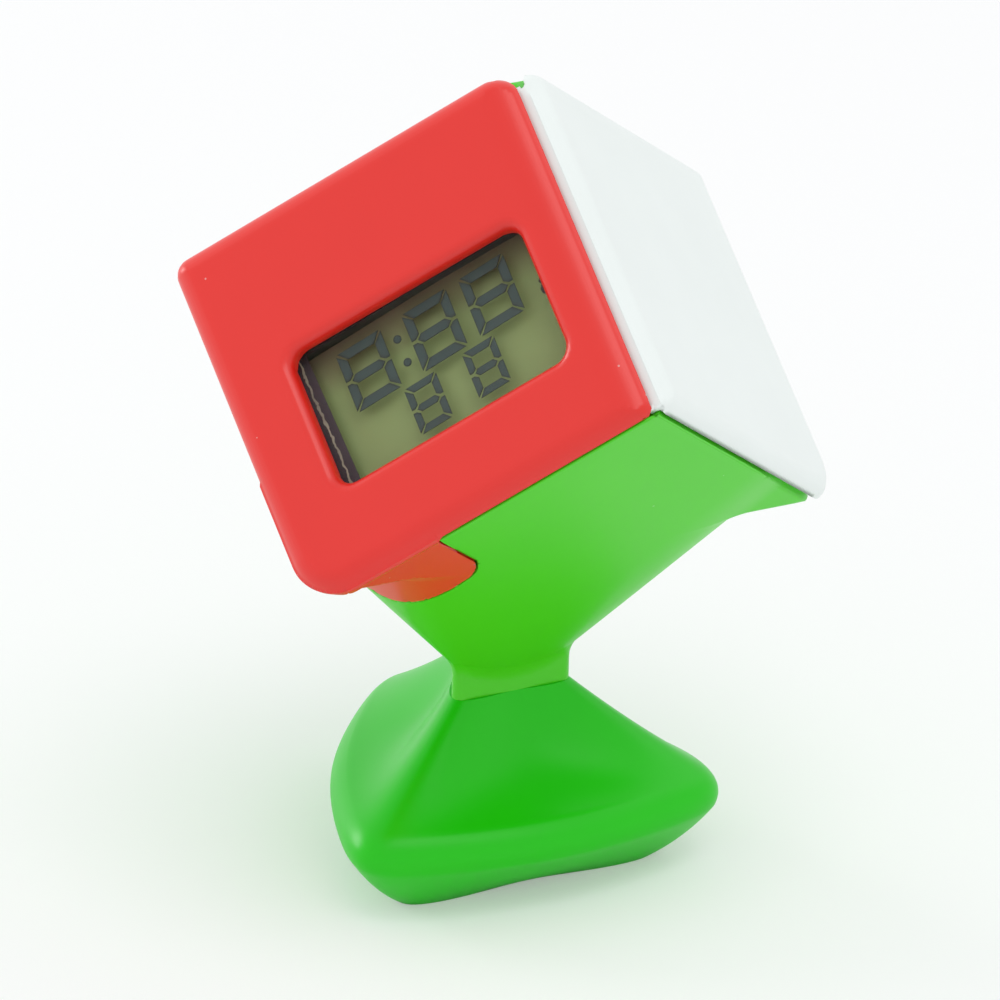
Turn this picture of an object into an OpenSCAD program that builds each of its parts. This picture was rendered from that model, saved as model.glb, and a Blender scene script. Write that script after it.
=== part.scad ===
// Desk timer in the shape of a large puzzle-cube corner, balanced on its foot.
// Millimetres. +Z is up and runs along the cube's body diagonal; Z = 0 is the flat of the foot.
// The display face looks toward -Y and up.  Inside cube_frame() the three cube edges are the
// axes: +X out of the display face, +Y out of the start face, +Z out of the service face.

/* [Cube] */
// Edge of the cube over its plain faces
cube_edge = 34.4; // [33.8:0.1:36]
// How far the display cap and the start plate stand proud of the plain faces
cap_rise = 1.6; // [1.4:0.1:1.9]
// Radius round the edges of the cap, the plate and the skirt
edge_round = 2.0; // [1.9:0.1:2.4]
// How far the rounded crown cuts into the cube's top corner
crown_cut = 1.5; // [1.2:0.1:2]
// Wall of the body moulding
wall = 1.6; // [1.3:0.1:1.8]
// Width of the rim that the display cap lands on
rim_w = 2.4; // [2.2:0.1:2.5]
// Seam between the display cap and the body
cap_seam = 0.1; // [0.05:0.05:0.2]
// Side of the start plate's lip, which covers the body's edge beside the display cap
lip_w = 0.65; // [0.5:0.05:0.7]

/* [Stem] */
// Height of the level skirt above the cube's virtual lowest corner
skirt_height = 21.2; // [20.8:0.1:21.8]
// Radius round the skirt's edge
skirt_round = 1.1; // [1:0.1:1.6]
// Half angle of the stem's cone
stem_angle = 43.2; // [42.5:0.1:44]
// Depth of the cone's tip below the virtual corner
stem_drop = 0.7; // [0.5:0.1:1]
// Height of the stem's hollow above the virtual corner
stem_floor = 9.6; // [9.2:0.1:11]

/* [Tongue of the display cap] */
// Depth of the tongue's middle behind the display face's plain plane
tongue_depth = 12.5; // [11:0.1:13]
// Slant of the tongue's rear edges toward the display face
tongue_slant = 17; // [10:1:20]
// Reach of the tongue from the lower faces
tongue_reach = 12.5; // [11:0.1:13.5]
// Corner radius of the tongue
tongue_round = 2.0; // [1:0.1:3]
// Seam round the tongue
tongue_seam = 0.15; // [0.1:0.05:0.3]

/* [Neck and foot] */
// Radius of the neck at its three corners
neck_round = 6.2; // [6:0.1:6.4]
// Radius of the neck at the middle of its three flats
neck_flat = 3.5; // [3.4:0.1:3.8]
// Height of the neck's foot above the virtual corner
neck_bottom = 3.2; // [2.8:0.1:3.6]
// Height of the virtual corner above the desk
corner_height = 13.1; // [12.5:0.1:14]
// Length of the spigot that plugs into the foot
spigot_length = 4.0; // [3:0.1:4.5]
// Step from the neck's outline in to the spigot
spigot_step = 0.9; // [0.8:0.1:1.1]
// Clearance round the spigot
spigot_gap = 0.1; // [0.05:0.05:0.2]
// Radius of the foot's rim at its corners
rim_corner = 19.4; // [18:0.1:20.5]
// Radius of the foot's rim at the middle of its sides
rim_side = 14.0; // [13:0.1:14.5]
// Height of the foot's rim above the desk
rim_height = 6.4; // [5.8:0.1:7]
// Radius of the flat underside at its corners
base_corner = 14.3; // [13.5:0.1:15]
// Radius of the flat underside at the middle of its sides
base_side = 7.3; // [7:0.1:8]
// Depth of the hollow of the foot's three upper faces
face_hollow = 1.5; // [0.8:0.1:2]
// Wall between the foot's pocket and its underside edge
foot_wall = 2.0; // [1.8:0.1:2.3]
// Thickness of the plug that closes the foot
plug_thick = 1.2; // [1:0.1:1.6]
// Recess of the plug above the desk
plug_recess = 0.4; // [0.2:0.1:0.8]
// Clearance round the plug
plug_gap = 0.1; // [0.05:0.05:0.2]
// Width of the ledge that the plug seats on
plug_ledge = 0.8; // [0.6:0.1:1]
// Depth of the foot's pocket above the plug
pocket_depth = 4.0; // [3:0.1:4.5]
// Thickness of the foot's web under the spigot
foot_web = 2.4; // [2:0.1:3]

/* [Display window] */
// Width of the window at the glass
window_w = 22.9; // [22:0.1:23.6]
// Height of the window at the glass
window_h = 13.0; // [12.5:0.1:13.6]
// Distance of the window's middle from the lower left face
window_y = 18.3; // [17.9:0.05:18.4]
// Distance of the window's middle from the lower right face
window_z = 14.75; // [14.6:0.05:15.1]
// Corner radius of the window
window_round = 1.5; // [1:0.1:2]
// Flare of the window toward the outside
window_flare = 1.05; // [0.5:0.05:1.1]

/* [Liquid crystal display] */
// Width of the display glass
lcd_w = 25.0; // [24.6:0.1:25.1]
// Height of the front glass
lcd_h = 16.4; // [16.2:0.1:16.8]
// Width of the front glass's contact ledge
lcd_ledge = 1.5; // [1.4:0.1:1.6]
// Thickness of each glass
glass_thick = 1.0; // [0.7:0.05:1.1]
// Gap between the glasses
cell_gap = 0.06; // [0.04:0.01:0.1]
// Thickness of the polariser and of the reflector
film_thick = 0.2; // [0.1:0.05:0.25]
// Gap between the cap and the polariser
film_gap = 0.1; // [0.05:0.05:0.2]
// Slant of the glass in its frame
lcd_skew = 1.5; // [0:0.1:1.6]
// Clearance round the glass
lcd_gap = 0.4; // [0.36:0.02:0.44]
// Wall of the display frame
frame_wall = 0.6; // [0.5:0.05:0.65]
// Width of the shelf that carries the glass
frame_shelf = 0.9; // [0.8:0.1:1.2]
// Clearance between the display frame and the body's rim
frame_gap = 0.2; // [0.1:0.05:0.25]
// Thickness of the zebra strip
zebra_thick = 1.0; // [0.8:0.05:1]
// Width of the fill plug
fill_w = 2.4; // [1.5:0.1:3]

/* [Digits] */
// Width of a large digit
big_w = 4.5; // [4:0.1:4.8]
// Height of a large digit
big_h = 5.6; // [5:0.1:6]
// Stroke of a large digit
big_stroke = 0.86; // [0.6:0.02:1]
// Width of a small digit
small_w = 3.2; // [2.8:0.1:3.4]
// Height of a small digit
small_h = 4.4; // [4:0.1:4.6]
// Stroke of a small digit
small_stroke = 0.66; // [0.5:0.02:0.8]
// Gap between segments
segment_gap = 0.16; // [0.1:0.02:0.24]
// Lean of the digits
digit_lean = 2; // [0:0.5:6]
// Side of the colon's dots
dot_w = 0.7; // [0.5:0.05:0.9]

/* [Circuit board] */
// Width of the board
board_w = 25.0; // [24:0.1:25.4]
// Height of the board
board_h = 23.8; // [23.4:0.1:24.4]
// Thickness of the board
board_thick = 1.2; // [1:0.1:1.6]
// Depth of the display frame, from the board to the cap
frame_depth = 4.8; // [4.6:0.1:5.2]
// Radius of the chip's resin blob
blob_r = 4.2; // [3.5:0.1:4.5]
// Height of the chip's resin blob
blob_h = 1.4; // [1:0.1:1.8]
// Radius of the crystal's can
crystal_r = 1.0; // [0.8:0.05:1.1]
// Length of the crystal's can
crystal_l = 6.0; // [5:0.1:6.4]
// Length of a chip resistor or capacitor
chip_l = 2.0; // [1.6:0.1:2.2]
// Width of a chip resistor or capacitor
chip_w = 1.25; // [0.8:0.05:1.3]
// Height of a chip capacitor
cap_h = 0.9; // [0.6:0.05:1]
// Height of a chip resistor
res_h = 0.5; // [0.4:0.05:0.6]
// Space between the chips of a row
chip_space = 1.4; // [1.2:0.1:1.5]
// Space between chips and their neighbours on the board
chip_gap = 0.4; // [0.3:0.05:0.5]
// Space between the display frame and the bosses over it
boss_gap = 1.1; // [0.9:0.1:1.2]

/* [Switches and buttons] */
// Press travel of the start plate and the reset button
travel = 0.25; // [0.15:0.05:0.25]
// Seam under the start plate
plate_seam = 0.35; // [0.3:0.05:0.5]
// Width of a switch
switch_w = 6.0; // [5.5:0.1:6.2]
// Depth of a switch along its plunger
switch_d = 3.6; // [3.2:0.1:4]
// Height of a switch above the board
switch_h = 6.2; // [5.8:0.1:6.6]
// Height of the plunger's middle above the board
plunger_rise = 3.2; // [3:0.1:3.4]
// Radius of a plunger
plunger_r = 1.5; // [1.2:0.1:1.7]
// Length of plunger that stands out of the switch
plunger_out = 1.4; // [1:0.1:1.6]
// Length of plunger inside the switch
plunger_in = 1.0; // [0.8:0.1:1.4]
// Radius of the start plate's guide posts
guide_r = 1.2; // [1:0.1:1.4]
// Running clearance round guide posts, plungers and the reset button
slide_gap = 0.08; // [0.05:0.01:0.1]
// Radius of the snap heads on the guide posts
guide_head_r = 1.6; // [1.6:0.1:1.8]
// Thickness of the snap heads
guide_head = 0.6; // [0.4:0.1:0.7]
// Distance of the guide posts from the lower faces
guide_near = 6.6; // [6:0.1:7]
// Distance between the guide posts
guide_span = 20.4; // [19.6:0.1:20.6]
// Radius of the start plate's pressing post
press_r = 1.8; // [1.5:0.1:2]
// Clearance round the pressing post
press_gap = 0.35; // [0.3:0.05:0.5]
// Radius of the reset button
reset_r = 3.0; // [2.5:0.1:3.2]
// Height of the reset button above the service face
reset_out = 0.6; // [0.4:0.1:0.8]
// Radius of the reset button's flange
reset_flange_r = 3.7; // [3.6:0.1:3.8]
// Thickness of the reset button's flange
reset_flange = 0.8; // [0.6:0.1:1]
// Distance of the reset button from the lower left face
reset_y = 17.2; // [16:0.1:18]
// Distance of the start switch from the lower right face
start_z = 14.6; // [13.5:0.1:15.5]

/* [Battery] */
// Radius of the button cell
cell_r = 5.8; // [5.7:0.05:5.9]
// Height of the button cell
cell_h = 5.4; // [5.2:0.1:5.6]
// Clearance between the cell and its well
cell_gap_r = 0.2; // [0.15:0.05:0.3]
// Wall of the battery well
well_wall = 1.2; // [1:0.1:1.4]
// Distance of the well's middle from the rear lower face
well_x = 12.0; // [11.8:0.1:12.2]
// Distance of the well's middle from the lower left face
well_y = 14.4; // [14.2:0.1:14.8]
// Thickness of the battery contacts
contact_thick = 0.3; // [0.2:0.05:0.35]
// Width of the battery contacts
contact_w = 3.6; // [3:0.1:4]
// Radius of the battery wires
wire_r = 0.5; // [0.4:0.05:0.6]
// Width of the battery door
door_w = 15.0; // [14.6:0.1:15.6]
// Length of the battery door
door_l = 22.6; // [22.4:0.1:23]
// Thickness of the battery door
door_thick = 1.2; // [1:0.1:1.3]
// Corner radius of the battery door
door_round = 2.0; // [1:0.1:3]
// Clearance round the battery door
door_gap = 0.15; // [0.1:0.05:0.25]
// Thickness of the land under the door
door_land = 1.2; // [1:0.1:1.5]

/* [Screws] */
// Radius of the small screws' thread
screw_r = 0.8; // [0.7:0.05:0.85]
// Radius of the small screws' head
screw_head_r = 1.7; // [1.5:0.05:1.75]
// Height of the small screws' head
screw_head = 0.8; // [0.7:0.05:0.85]
// Length of the small screws
screw_l = 4.6; // [4:0.1:4.6]
// Radius of the bosses that take the small screws
boss_r = 1.9; // [1.7:0.05:2]
// Radius of the foot screw's thread
foot_screw_r = 1.1; // [1:0.05:1.2]
// Radius of the foot screw's head
foot_screw_head_r = 2.2; // [2:0.05:2.4]
// Height of the foot screw's head
foot_screw_head = 1.4; // [1.2:0.05:1.6]
// Length of the foot screw
foot_screw_l = 9.4; // [9:0.1:9.6]
// Clearance between a screw's shank and a hole that it passes
screw_clear = 0.15; // [0.1:0.05:0.25]
// Clearance round the threads of the battery door's screws
thread_gap = 0.05; // [0.02:0.01:0.08]

/* [Snap hooks] */
// Thickness of a hook's leg
hook_thick = 1.1; // [1:0.1:1.2]
// Width of a hook
hook_w = 5.0; // [4.5:0.1:5.2]
// Reach of a hook's barb over the rim
hook_barb = 0.5; // [0.4:0.1:0.6]
// Height of a hook's barb
hook_head = 1.2; // [1:0.1:1.3]
// Clearance round a hook
hook_gap = 0.1; // [0.05:0.05:0.15]

/* [Hidden] */
$fn = 64;

// A cut runs this far past the face that it opens
over = 0.5;
// Rise of the cube's diagonal: the tilt of each face from upright
tilt = asin(1 / sqrt(3));
// Outer planes of the display cap and the start plate
proud = cube_edge + cap_rise;
// Inner plane of every body wall
inner = cube_edge - wall;
// Size that is larger than the whole object
far = 3 * cube_edge;

// Ball that rounds the cube's top corner, centred on the diagonal
crown_z = 0.7 * cube_edge;
crown_r = sqrt(3) * cube_edge - crown_cut - crown_z;

// Neck: its flats meet the lower faces at stem_low and its corners meet the cone at neck_top
stem_low = sqrt(2) * neck_flat;
neck_top = neck_round / tan(stem_angle) - stem_drop;
spigot_bottom = neck_bottom - spigot_length;

// Clearance between the start plate's lip and its notch in the body
lip_gap = 0.15;

// Corner radii of the two raised faces, from the lowest corner round
cap_corners = [4.5, 1.4, 2.8, 1.6];
plate_corners = [4.5, 1.6, 2.8, 1.4];

// Tongue edges, and how far the bridge to the face stays inside the lower faces
tongue_x = cube_edge - tongue_depth;
bridge_in = 0.25;

// Planes of the display stack, going in from the cap's back
cap_back = cube_edge + cap_seam;
polarizer_x = cap_back - film_gap - film_thick;
front_glass_x = polarizer_x - glass_thick;
rear_glass_x = front_glass_x - cell_gap - glass_thick;
reflector_x = rear_glass_x - film_thick;
board_front = cap_back - frame_depth;
board_back = board_front - board_thick;

// Outline of the display frame's pocket and of the board, as seen from the front
pocket_w = lcd_w + 2 * lcd_gap;
pocket_h = lcd_h + 2 * lcd_gap;
frame_w = pocket_w + 2 * frame_wall;
frame_h = pocket_h + 2 * frame_wall;
frame_y = cube_edge - rim_w - frame_gap - frame_w / 2;
frame_z0 = window_z - frame_h / 2;
board_y = frame_y - board_w / 2;
board_z = frame_z0;
rear_h = lcd_h - lcd_ledge;

// Near edge of the opening that the display frame comes through
open_low = min(rim_w, frame_y - frame_w / 2 - frame_gap);

// Board screws and frame pegs
screw_side = 2.6;
screw_ys = [board_y + screw_side, board_y + board_w - screw_side];
board_screw_z = frame_z0 + frame_h + boss_gap + boss_r;
peg_r = 0.7;
peg_in = 2.2;

// Switches: plunger lines
plunger_x = board_back - plunger_rise;
start_tip_in = 0.4;
start_tip = board_y + board_w - start_tip_in;
reset_stem = 3.25;
reset_tip = inner - reset_stem;
start_face = start_tip - plunger_out;
reset_face = reset_tip - plunger_out;

// Chips on the board's back, as [Y, Z] from its lower left corner: the capacitors under the
// reset switch, the resistors under the start switch, and the timer chip between them
chips = 3;
chip_row_w = chips * chip_w + (chips - 1) * chip_space;
capacitors_at = [reset_y - board_y - chip_row_w / 2,
    reset_face - switch_d - board_z - chip_gap - chip_l];
resistors_at = [start_face - switch_d - board_y - chip_row_w,
    start_z - board_z - switch_w / 2 - chip_gap - chip_l];
blob_at = [reset_y - board_y, capacitors_at[1] - 2 * chip_gap - blob_r];
crystal_in = 2.2;
crystal_at = [peg_in + crystal_in, peg_in + crystal_in];

// Battery well and door
well_r = cell_r + cell_gap_r;
door_x = well_x;
door_y = well_y;
door_seat = cube_edge - door_thick;
cell_top = door_seat - 0.1;
well_floor = cell_top - cell_h - contact_thick - 0.1;
well_bottom = well_floor - well_wall;
door_screw_y = door_l / 2 - 2.1;
land_bottom = door_seat - door_land;
tab_l = 2.2;

// Foot heights above the virtual corner
desk = -corner_height;
foot_top = neck_bottom;
rim_z = desk + rim_height;
pocket_top = desk + plug_recess + plug_thick + pocket_depth;
socket_floor = spigot_bottom - spigot_gap;
web_bottom = socket_floor - foot_web;

// ---------------------------------------------------------------- frames

// Places children, drawn from the virtual corner, at their height over the desk
module from_corner() {
    translate([0, 0, corner_height]) children();
}

// Turns the cube's three edges into the X, Y and Z of its children
module cube_frame() {
    from_corner() rotate([45, -tilt, -90]) children();
}

// Puts a shape drawn in X and Y, built up along Z, on the display face: X runs along the
// face to the right, Y up it, and Z out of it from the plane at depth x
module on_display(x) {
    translate([x, 0, 0]) rotate([90, 0, 90]) children();
}

// The same on the start face: Z runs out of it
module on_start(y) {
    translate([0, y, 0]) rotate([-90, 0, 0]) rotate([0, 0, -90]) children();
}

// The glass's own frame, set a little askew in the window
module on_glass(x) {
    on_display(x) translate([frame_y, window_z]) rotate(lcd_skew) children();
}

// ---------------------------------------------------------------- outlines

// Points on an arc, in n steps
function arc(c, r, a0, a1, n) =
    [for (i = [0 : n]) let (a = a0 + (a1 - a0) * i / n) c + r * [cos(a), sin(a)]];

// Four-cornered outline from low to high, with a radius at each corner, counterclockwise
// from the lower left
function soft_box(low, high, radii, n) =
    let (
        corners = [low, [high[0], low[1]], high, [low[0], high[1]]],
        inward = [[1, 1], [-1, 1], [-1, -1], [1, -1]]
    )
    [for (i = [0 : 3]) each arc(corners[i] + inward[i] * radii[i], radii[i],
        180 + 90 * i, 270 + 90 * i, n)];

// Outline w by h with equal round corners, centred
function soft_rect(w, h, r) = soft_box([-w / 2, -h / 2], [w / 2, h / 2], [r, r, r, r], 6);

// Outline at height z
function lift(points, z) = [for (p = points) [p[0], p[1], z]];

// Closed solid through rings of equal length, each counterclockwise from above, going up
module loft(rings) {
    n = len(rings[0]);
    last = len(rings) - 1;
    points = [for (ring = rings) each ring];
    sides = [for (k = [0 : last - 1]) for (i = [0 : n - 1])
        let (a = k * n + i, b = k * n + (i + 1) % n)
        each [[a, b + n, b], [a, a + n, b + n]]];
    bottom = [[for (i = [0 : n - 1]) i]];
    top = [[for (i = [n - 1 : -1 : 0]) last * n + i]];
    polyhedron(points, concat(sides, bottom, top), convexity = 4);
}

// ---------------------------------------------------------------- outer form

// Quarter of the upright plane that lies over the skirt and behind a face at distance d,
// with the edge between them rounded
module skirt_profile(d) {
    c = cos(tilt);
    s = sin(tilt);
    mid_z = skirt_height + skirt_round;
    mid_u = (d - skirt_round - s * mid_z) / c;
    top_u = (d - s * far) / c;
    polygon(concat([[-far, far], [-far, skirt_height]],
        arc([mid_u, mid_z], skirt_round, -90, tilt, 7), [[top_u, far]]));
}

// The same profile drawn across the object, facing one of the three faces
module skirt_slab(d, turn) {
    rotate(turn) rotate([90, 0, 90]) translate([0, 0, -far])
        linear_extrude(2 * far) mirror([1, 0]) skirt_profile(d);
}

// Space over the skirt
module over_skirt() {
    intersection() {
        skirt_slab(proud, 0);
        skirt_slab(proud, 120);
        skirt_slab(cube_edge, 240);
    }
}

// Cone of the stem from height z up, drawn in by a wall
module stem_cone(z, inset) {
    top = skirt_height + wall + over;
    shrink = inset / cos(stem_angle);
    r1 = tan(stem_angle) * (z + stem_drop) - shrink;
    r2 = tan(stem_angle) * (top + stem_drop) - shrink;
    translate([0, 0, z]) cylinder(h = top - z, r1 = r1, r2 = r2);
}

// Cube whose two free upper edges are rounded
module plain_cube() {
    r = edge_round;
    e = cube_edge;
    side = concat([[0, 0], [e, 0], [e, e]], arc([r, e - r], r, 90, 180, 7));
    intersection() {
        rotate([90, 0, 90]) linear_extrude(e) polygon(side);
        translate([0, e, 0]) rotate([90, 0, 0]) linear_extrude(e) polygon(side);
    }
}

// Rounds the two lower edges that end at the tips of the display and the start face, drawn
// in by an inset
module tip_form(inset) {
    for_display = tip_outline(cap_corners[0], inset);
    for_start = tip_outline(plate_corners[0], inset);
    intersection() {
        on_display(0) linear_extrude(far) polygon(for_display);
        on_start(0) linear_extrude(far) polygon(for_start);
    }
}

function tip_outline(r, inset) =
    concat(arc([r, r], r - inset, 180, 270, 7), [[far, inset], [far, far], [inset, far]]);

// Notch along the edge between the display and the start face, for the start plate's lip
module lip_notch() {
    depth = lip_w + lip_gap;
    translate([cube_edge - depth, cube_edge - depth - travel, -over])
        cube([far, far, cube_edge + 2 * over]);
}

// Whole outer form of the body over the neck
module body_form() {
    intersection() {
        cube_frame() difference() {
            plain_cube();
            lip_notch();
        }
        union() {
            intersection() {
                from_corner() over_skirt();
                cube_frame() tip_form(0);
            }
            from_corner() stem_cone(stem_low, 0);
        }
        from_corner() translate([0, 0, crown_z]) sphere(crown_r);
    }
}

// Hollow of the body
module body_hollow() {
    intersection() {
        cube_frame() translate([wall, wall, wall]) cube(cube_edge - 2 * wall);
        union() {
            intersection() {
                from_corner() translate([0, 0, skirt_height + wall]) cylinder(r = far, h = far);
                cube_frame() tip_form(wall);
            }
            from_corner() stem_cone(stem_floor, wall);
        }
    }
}

// Raised face with rounded edges: X across, Y up, from the plane at height low.  radii are
// the corner radii of its foot, which tighten toward its top
module pillow(low, radii) {
    r = edge_round;
    e = cube_edge;
    first = asin((low - proud + r) / r);
    steps = 8;
    loft([for (i = [0 : steps])
        let (a = first + (90 - first) * i / steps, inset = r * (1 - cos(a)))
        lift(soft_box([inset, inset], [e - inset, e - inset], radii * (1 - 0.6 * inset / r), 5),
            proud - r + r * sin(a))]);
}

// Corner block that the display cap fills with its tongue
module tongue_block(gap) {
    w = tongue_reach + gap;
    intersection() {
        translate([0, 0, -over]) linear_extrude(w + over) tongue_outline(gap);
        translate([0, w, 0]) rotate([90, 0, 0]) linear_extrude(w + over) tongue_outline(gap);
    }
}

// Outline of the tongue's block: a slanted rear edge, rounded into the outer one
module tongue_outline(gap) {
    r = tongue_round;
    w = tongue_reach + gap;
    slope = tan(tongue_slant);
    x0 = tongue_x - gap / cos(tongue_slant);
    mid = [x0 + slope * (w - r) + r / cos(tongue_slant), w - r];
    polygon(concat([[x0 - slope * over, -over], [far, -over], [far, w]],
        arc(mid, r, 90, 180 - tongue_slant, 7)));
}

// ---------------------------------------------------------------- display cap

// One hook: the leg runs back from the cap, and the barb turns toward +Y
module hook() {
    leg = wall + hook_gap + hook_head;
    translate([cap_back - leg - cap_seam, -hook_gap - hook_thick, -hook_w / 2])
        cube([leg + cap_seam + over, hook_thick, hook_w]);
    translate([inner - hook_gap - hook_head, -hook_gap - hook_thick, -hook_w / 2])
        cube([hook_head, hook_gap + hook_thick + hook_barb, hook_w]);
}

// Middle line of the two side hooks, clear of the display frame
side_hook_z = board_screw_z;

module display_cap() {
    color("#E84038") difference() {
        union() {
            intersection() {
                cube_frame() on_display(0) pillow(cap_back, cap_corners);
                from_corner() over_skirt();
            }
            difference() {
                intersection() {
                    body_form();
                    cube_frame() tongue_block(0);
                }
                body_hollow();
                cube_frame() translate([inner, wall, wall]) cube(far);
            }
            // The seam is bridged where the tongue meets the face
            intersection() {
                cube_frame() difference() {
                    translate([cube_edge - over, bridge_in, bridge_in])
                        cube([2 * over, tongue_reach - bridge_in, tongue_reach - bridge_in]);
                    translate([inner, wall, wall]) cube(far);
                }
                from_corner() over_skirt();
                cube_frame() tip_form(bridge_in);
            }
            cube_frame() {
                for (y = screw_ys)
                    translate([board_front, y, board_screw_z]) rotate([0, 90, 0])
                        cylinder(r = boss_r, h = cap_back + over - board_front);
                translate([0, cube_edge - rim_w, side_hook_z]) hook();
                translate([0, open_low, side_hook_z]) mirror([0, 1, 0]) hook();
                translate([0, cube_edge / 2, cube_edge - rim_w]) rotate([90, 0, 0])
                    mirror([0, 0, 1]) hook();
                translate([0, window_y, rim_w]) rotate([-90, 0, 0]) hook();
            }
        }
        cube_frame() {
            display_window();
            for (y = screw_ys)
                translate([board_front - over, y, board_screw_z]) rotate([0, 90, 0])
                    cylinder(r = screw_r, h = screw_l - board_thick + over + 0.3);
        }
    }
}

// Window outline, wider by grow all round, at height z
function window_ring(grow, z) =
    lift(soft_rect(window_w + 2 * grow, window_h + 2 * grow, window_round + grow), z);

// Window through the cap, whose outer edge is rounded
module display_window() {
    f = window_flare;
    steps = 6;
    on_display(0) translate([window_y, window_z, 0]) loft(concat(
        [window_ring(0, cap_back - over)],
        [for (i = [0 : steps]) let (a = 90 * i / steps)
            window_ring(f * (1 - cos(a)), proud - f + f * sin(a))],
        [window_ring(f, proud + over)]));
}

// ---------------------------------------------------------------- start plate

// Corners of the start plate's guide posts, as [X, Z]
guide_far = guide_near + guide_span;
guide_spots = [[guide_near, guide_near], [guide_near, guide_far], [guide_far, guide_near],
    [guide_far, guide_far]];

// A pin along +Y from y0 to y1 at a spot of the start face
module pin_y(spot, y0, y1, r) {
    translate([spot[0], y0, spot[1]]) rotate([-90, 0, 0]) cylinder(r = r, h = y1 - y0);
}

// Lip along the plate's edge beside the display cap. It follows the plate's own corners
module start_lip(low) {
    inset = 0.05;
    depth = low - cube_edge + lip_w;
    intersection() {
        cube_frame() on_start(low - depth) linear_extrude(depth + 0.1)
            polygon(soft_box([inset, inset], [cube_edge - inset, cube_edge - inset],
                plate_corners, 5));
        cube_frame() translate([cube_edge - lip_w, 0, 0]) cube(far);
        from_corner() over_skirt();
    }
}

module start_plate() {
    low = cube_edge + plate_seam;
    head_y = inner - 0.05;
    color("#ECF2F0") union() {
        intersection() {
            cube_frame() on_start(0) pillow(low, plate_corners);
            from_corner() over_skirt();
        }
        start_lip(low);
        cube_frame() {
            for (spot = guide_spots) {
                pin_y(spot, head_y - guide_head, low + 0.1, guide_r);
                pin_y(spot, head_y - guide_head, head_y, guide_head_r);
            }
            pin_y([plunger_x, start_z], start_tip, low + 0.1, press_r);
        }
    }
}

// ---------------------------------------------------------------- body

// Neck's outline, drawn in by an inset
module neck_outline(inset) {
    intersection() {
        circle(neck_round - inset);
        rotate(30) circle(2 * (neck_flat - inset), $fn = 3);
    }
}

module body_shell() {
    color("#46CF2C") difference() {
        union() {
            difference() {
                body_form();
                body_hollow();
                // Opening behind the display cap
                cube_frame() translate([inner - over, open_low, rim_w])
                    cube([wall + 2 * over, cube_edge - rim_w - open_low, cube_edge - 2 * rim_w]);
                cube_frame() tongue_block(tongue_seam);
            }
            from_corner() {
                translate([0, 0, neck_bottom]) linear_extrude(neck_top - neck_bottom)
                    neck_outline(0);
                translate([0, 0, spigot_bottom]) linear_extrude(spigot_length + over)
                    neck_outline(spigot_step);
            }
            cube_frame() battery_bay();
        }
        cube_frame() {
            battery_cuts();
            for (spot = guide_spots)
                pin_y(spot, inner - over, cube_edge + over, guide_r + slide_gap);
            pin_y([plunger_x, start_z], inner - over, cube_edge + over, press_r + press_gap);
            translate([plunger_x, reset_y, inner - over])
                cylinder(r = reset_r + slide_gap, h = wall + 2 * over);
        }
        // Pilot hole for the foot's screw
        from_corner() translate([0, 0, spigot_bottom - over])
            cylinder(r = foot_screw_r, h = stem_floor - 1 - spigot_bottom + over);
    }
}

// Land, well and bosses on the inside of the service face
module battery_bay() {
    translate([well_x, well_y, well_bottom])
        cylinder(r = well_r + well_wall, h = inner - well_bottom + over / 2);
    translate([door_x, door_y, land_bottom]) linear_extrude(inner - land_bottom + over / 2)
        polygon(soft_rect(door_w + 2 * well_wall, door_l + 2 * well_wall, door_round + well_wall));
    for (s = [-1, 1])
        translate([door_x, door_y + s * door_screw_y, door_seat - screw_l])
            cylinder(r = boss_r, h = screw_l - over);
}

module battery_cuts() {
    translate([door_x, door_y, door_seat]) linear_extrude(door_thick + over)
        polygon(soft_rect(door_w + 2 * door_gap, door_l + 2 * door_gap, door_round + door_gap));
    translate([well_x, well_y, well_floor])
        cylinder(r = well_r, h = cube_edge - well_floor);
    for (s = [-1, 1])
        translate([door_x, door_y + s * door_screw_y, door_seat - screw_l + door_thick - 0.1])
            cylinder(r = screw_r + thread_gap, h = screw_l);
    // Pocket and slot of the positive contact, and slot of the negative one
    translate([well_x + cell_r, well_y - contact_w / 2 - 0.1, well_bottom - over])
        cube([contact_thick + 0.3, contact_w + 0.2, door_seat - well_bottom + over]);
    translate([well_x - contact_w / 2 - 0.1, well_y + well_r - contact_thick - 0.6,
        well_bottom - over])
        cube([contact_w + 0.2, contact_thick + 0.2, well_wall + 2 * over]);
}

// ---------------------------------------------------------------- foot

// Point of a three-point curve
function curve(a, b, c, t) = (1 - t) * (1 - t) * a + 2 * t * (1 - t) * b + t * t * c;

// Control point that lets a curve from a to c sag by d toward the axis and down
function sag(a, c, d) =
    let (m = (a + c) / 2, n = [c[1] - a[1], a[0] - c[0]] / norm(c - a))
    m + 2 * d * n;

// Share of the way from mid side to corner at angle a from mid side; soft rounds the corner
function corner_share(a, soft) =
    let (
        fold = abs((a % 120) - 60),
        bend = function (t) 60 * (1 - sqrt(t * t + soft * soft) / sqrt(3600 + soft * soft)),
        rise = function (t) 1 / cos(bend(t)) - 1
    )
    rise(fold) / rise(0);

// Foot profiles, each as three curves: [radius, height over the virtual corner]
// The fold is where the hollow upper face turns into the rim
fold_drop = 1.9;
fold_step = 1.6;
roll = 1.3;
tuck = 0.9;

function profile(neck_r, rim_r, base_r, hollow) =
    let (
        top = [neck_r, foot_top],
        fold = [rim_r - fold_step, rim_z + fold_drop],
        crest = [rim_r + 0.45, rim_z + 0.5],
        under = [rim_r - tuck * 0.35, rim_z - roll],
        low = [base_r, desk]
    )
    [[top, sag(top, fold, hollow), fold], [fold, crest, under],
     [under, (under + low) / 2 + [0.5, -0.5], low]];

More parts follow.
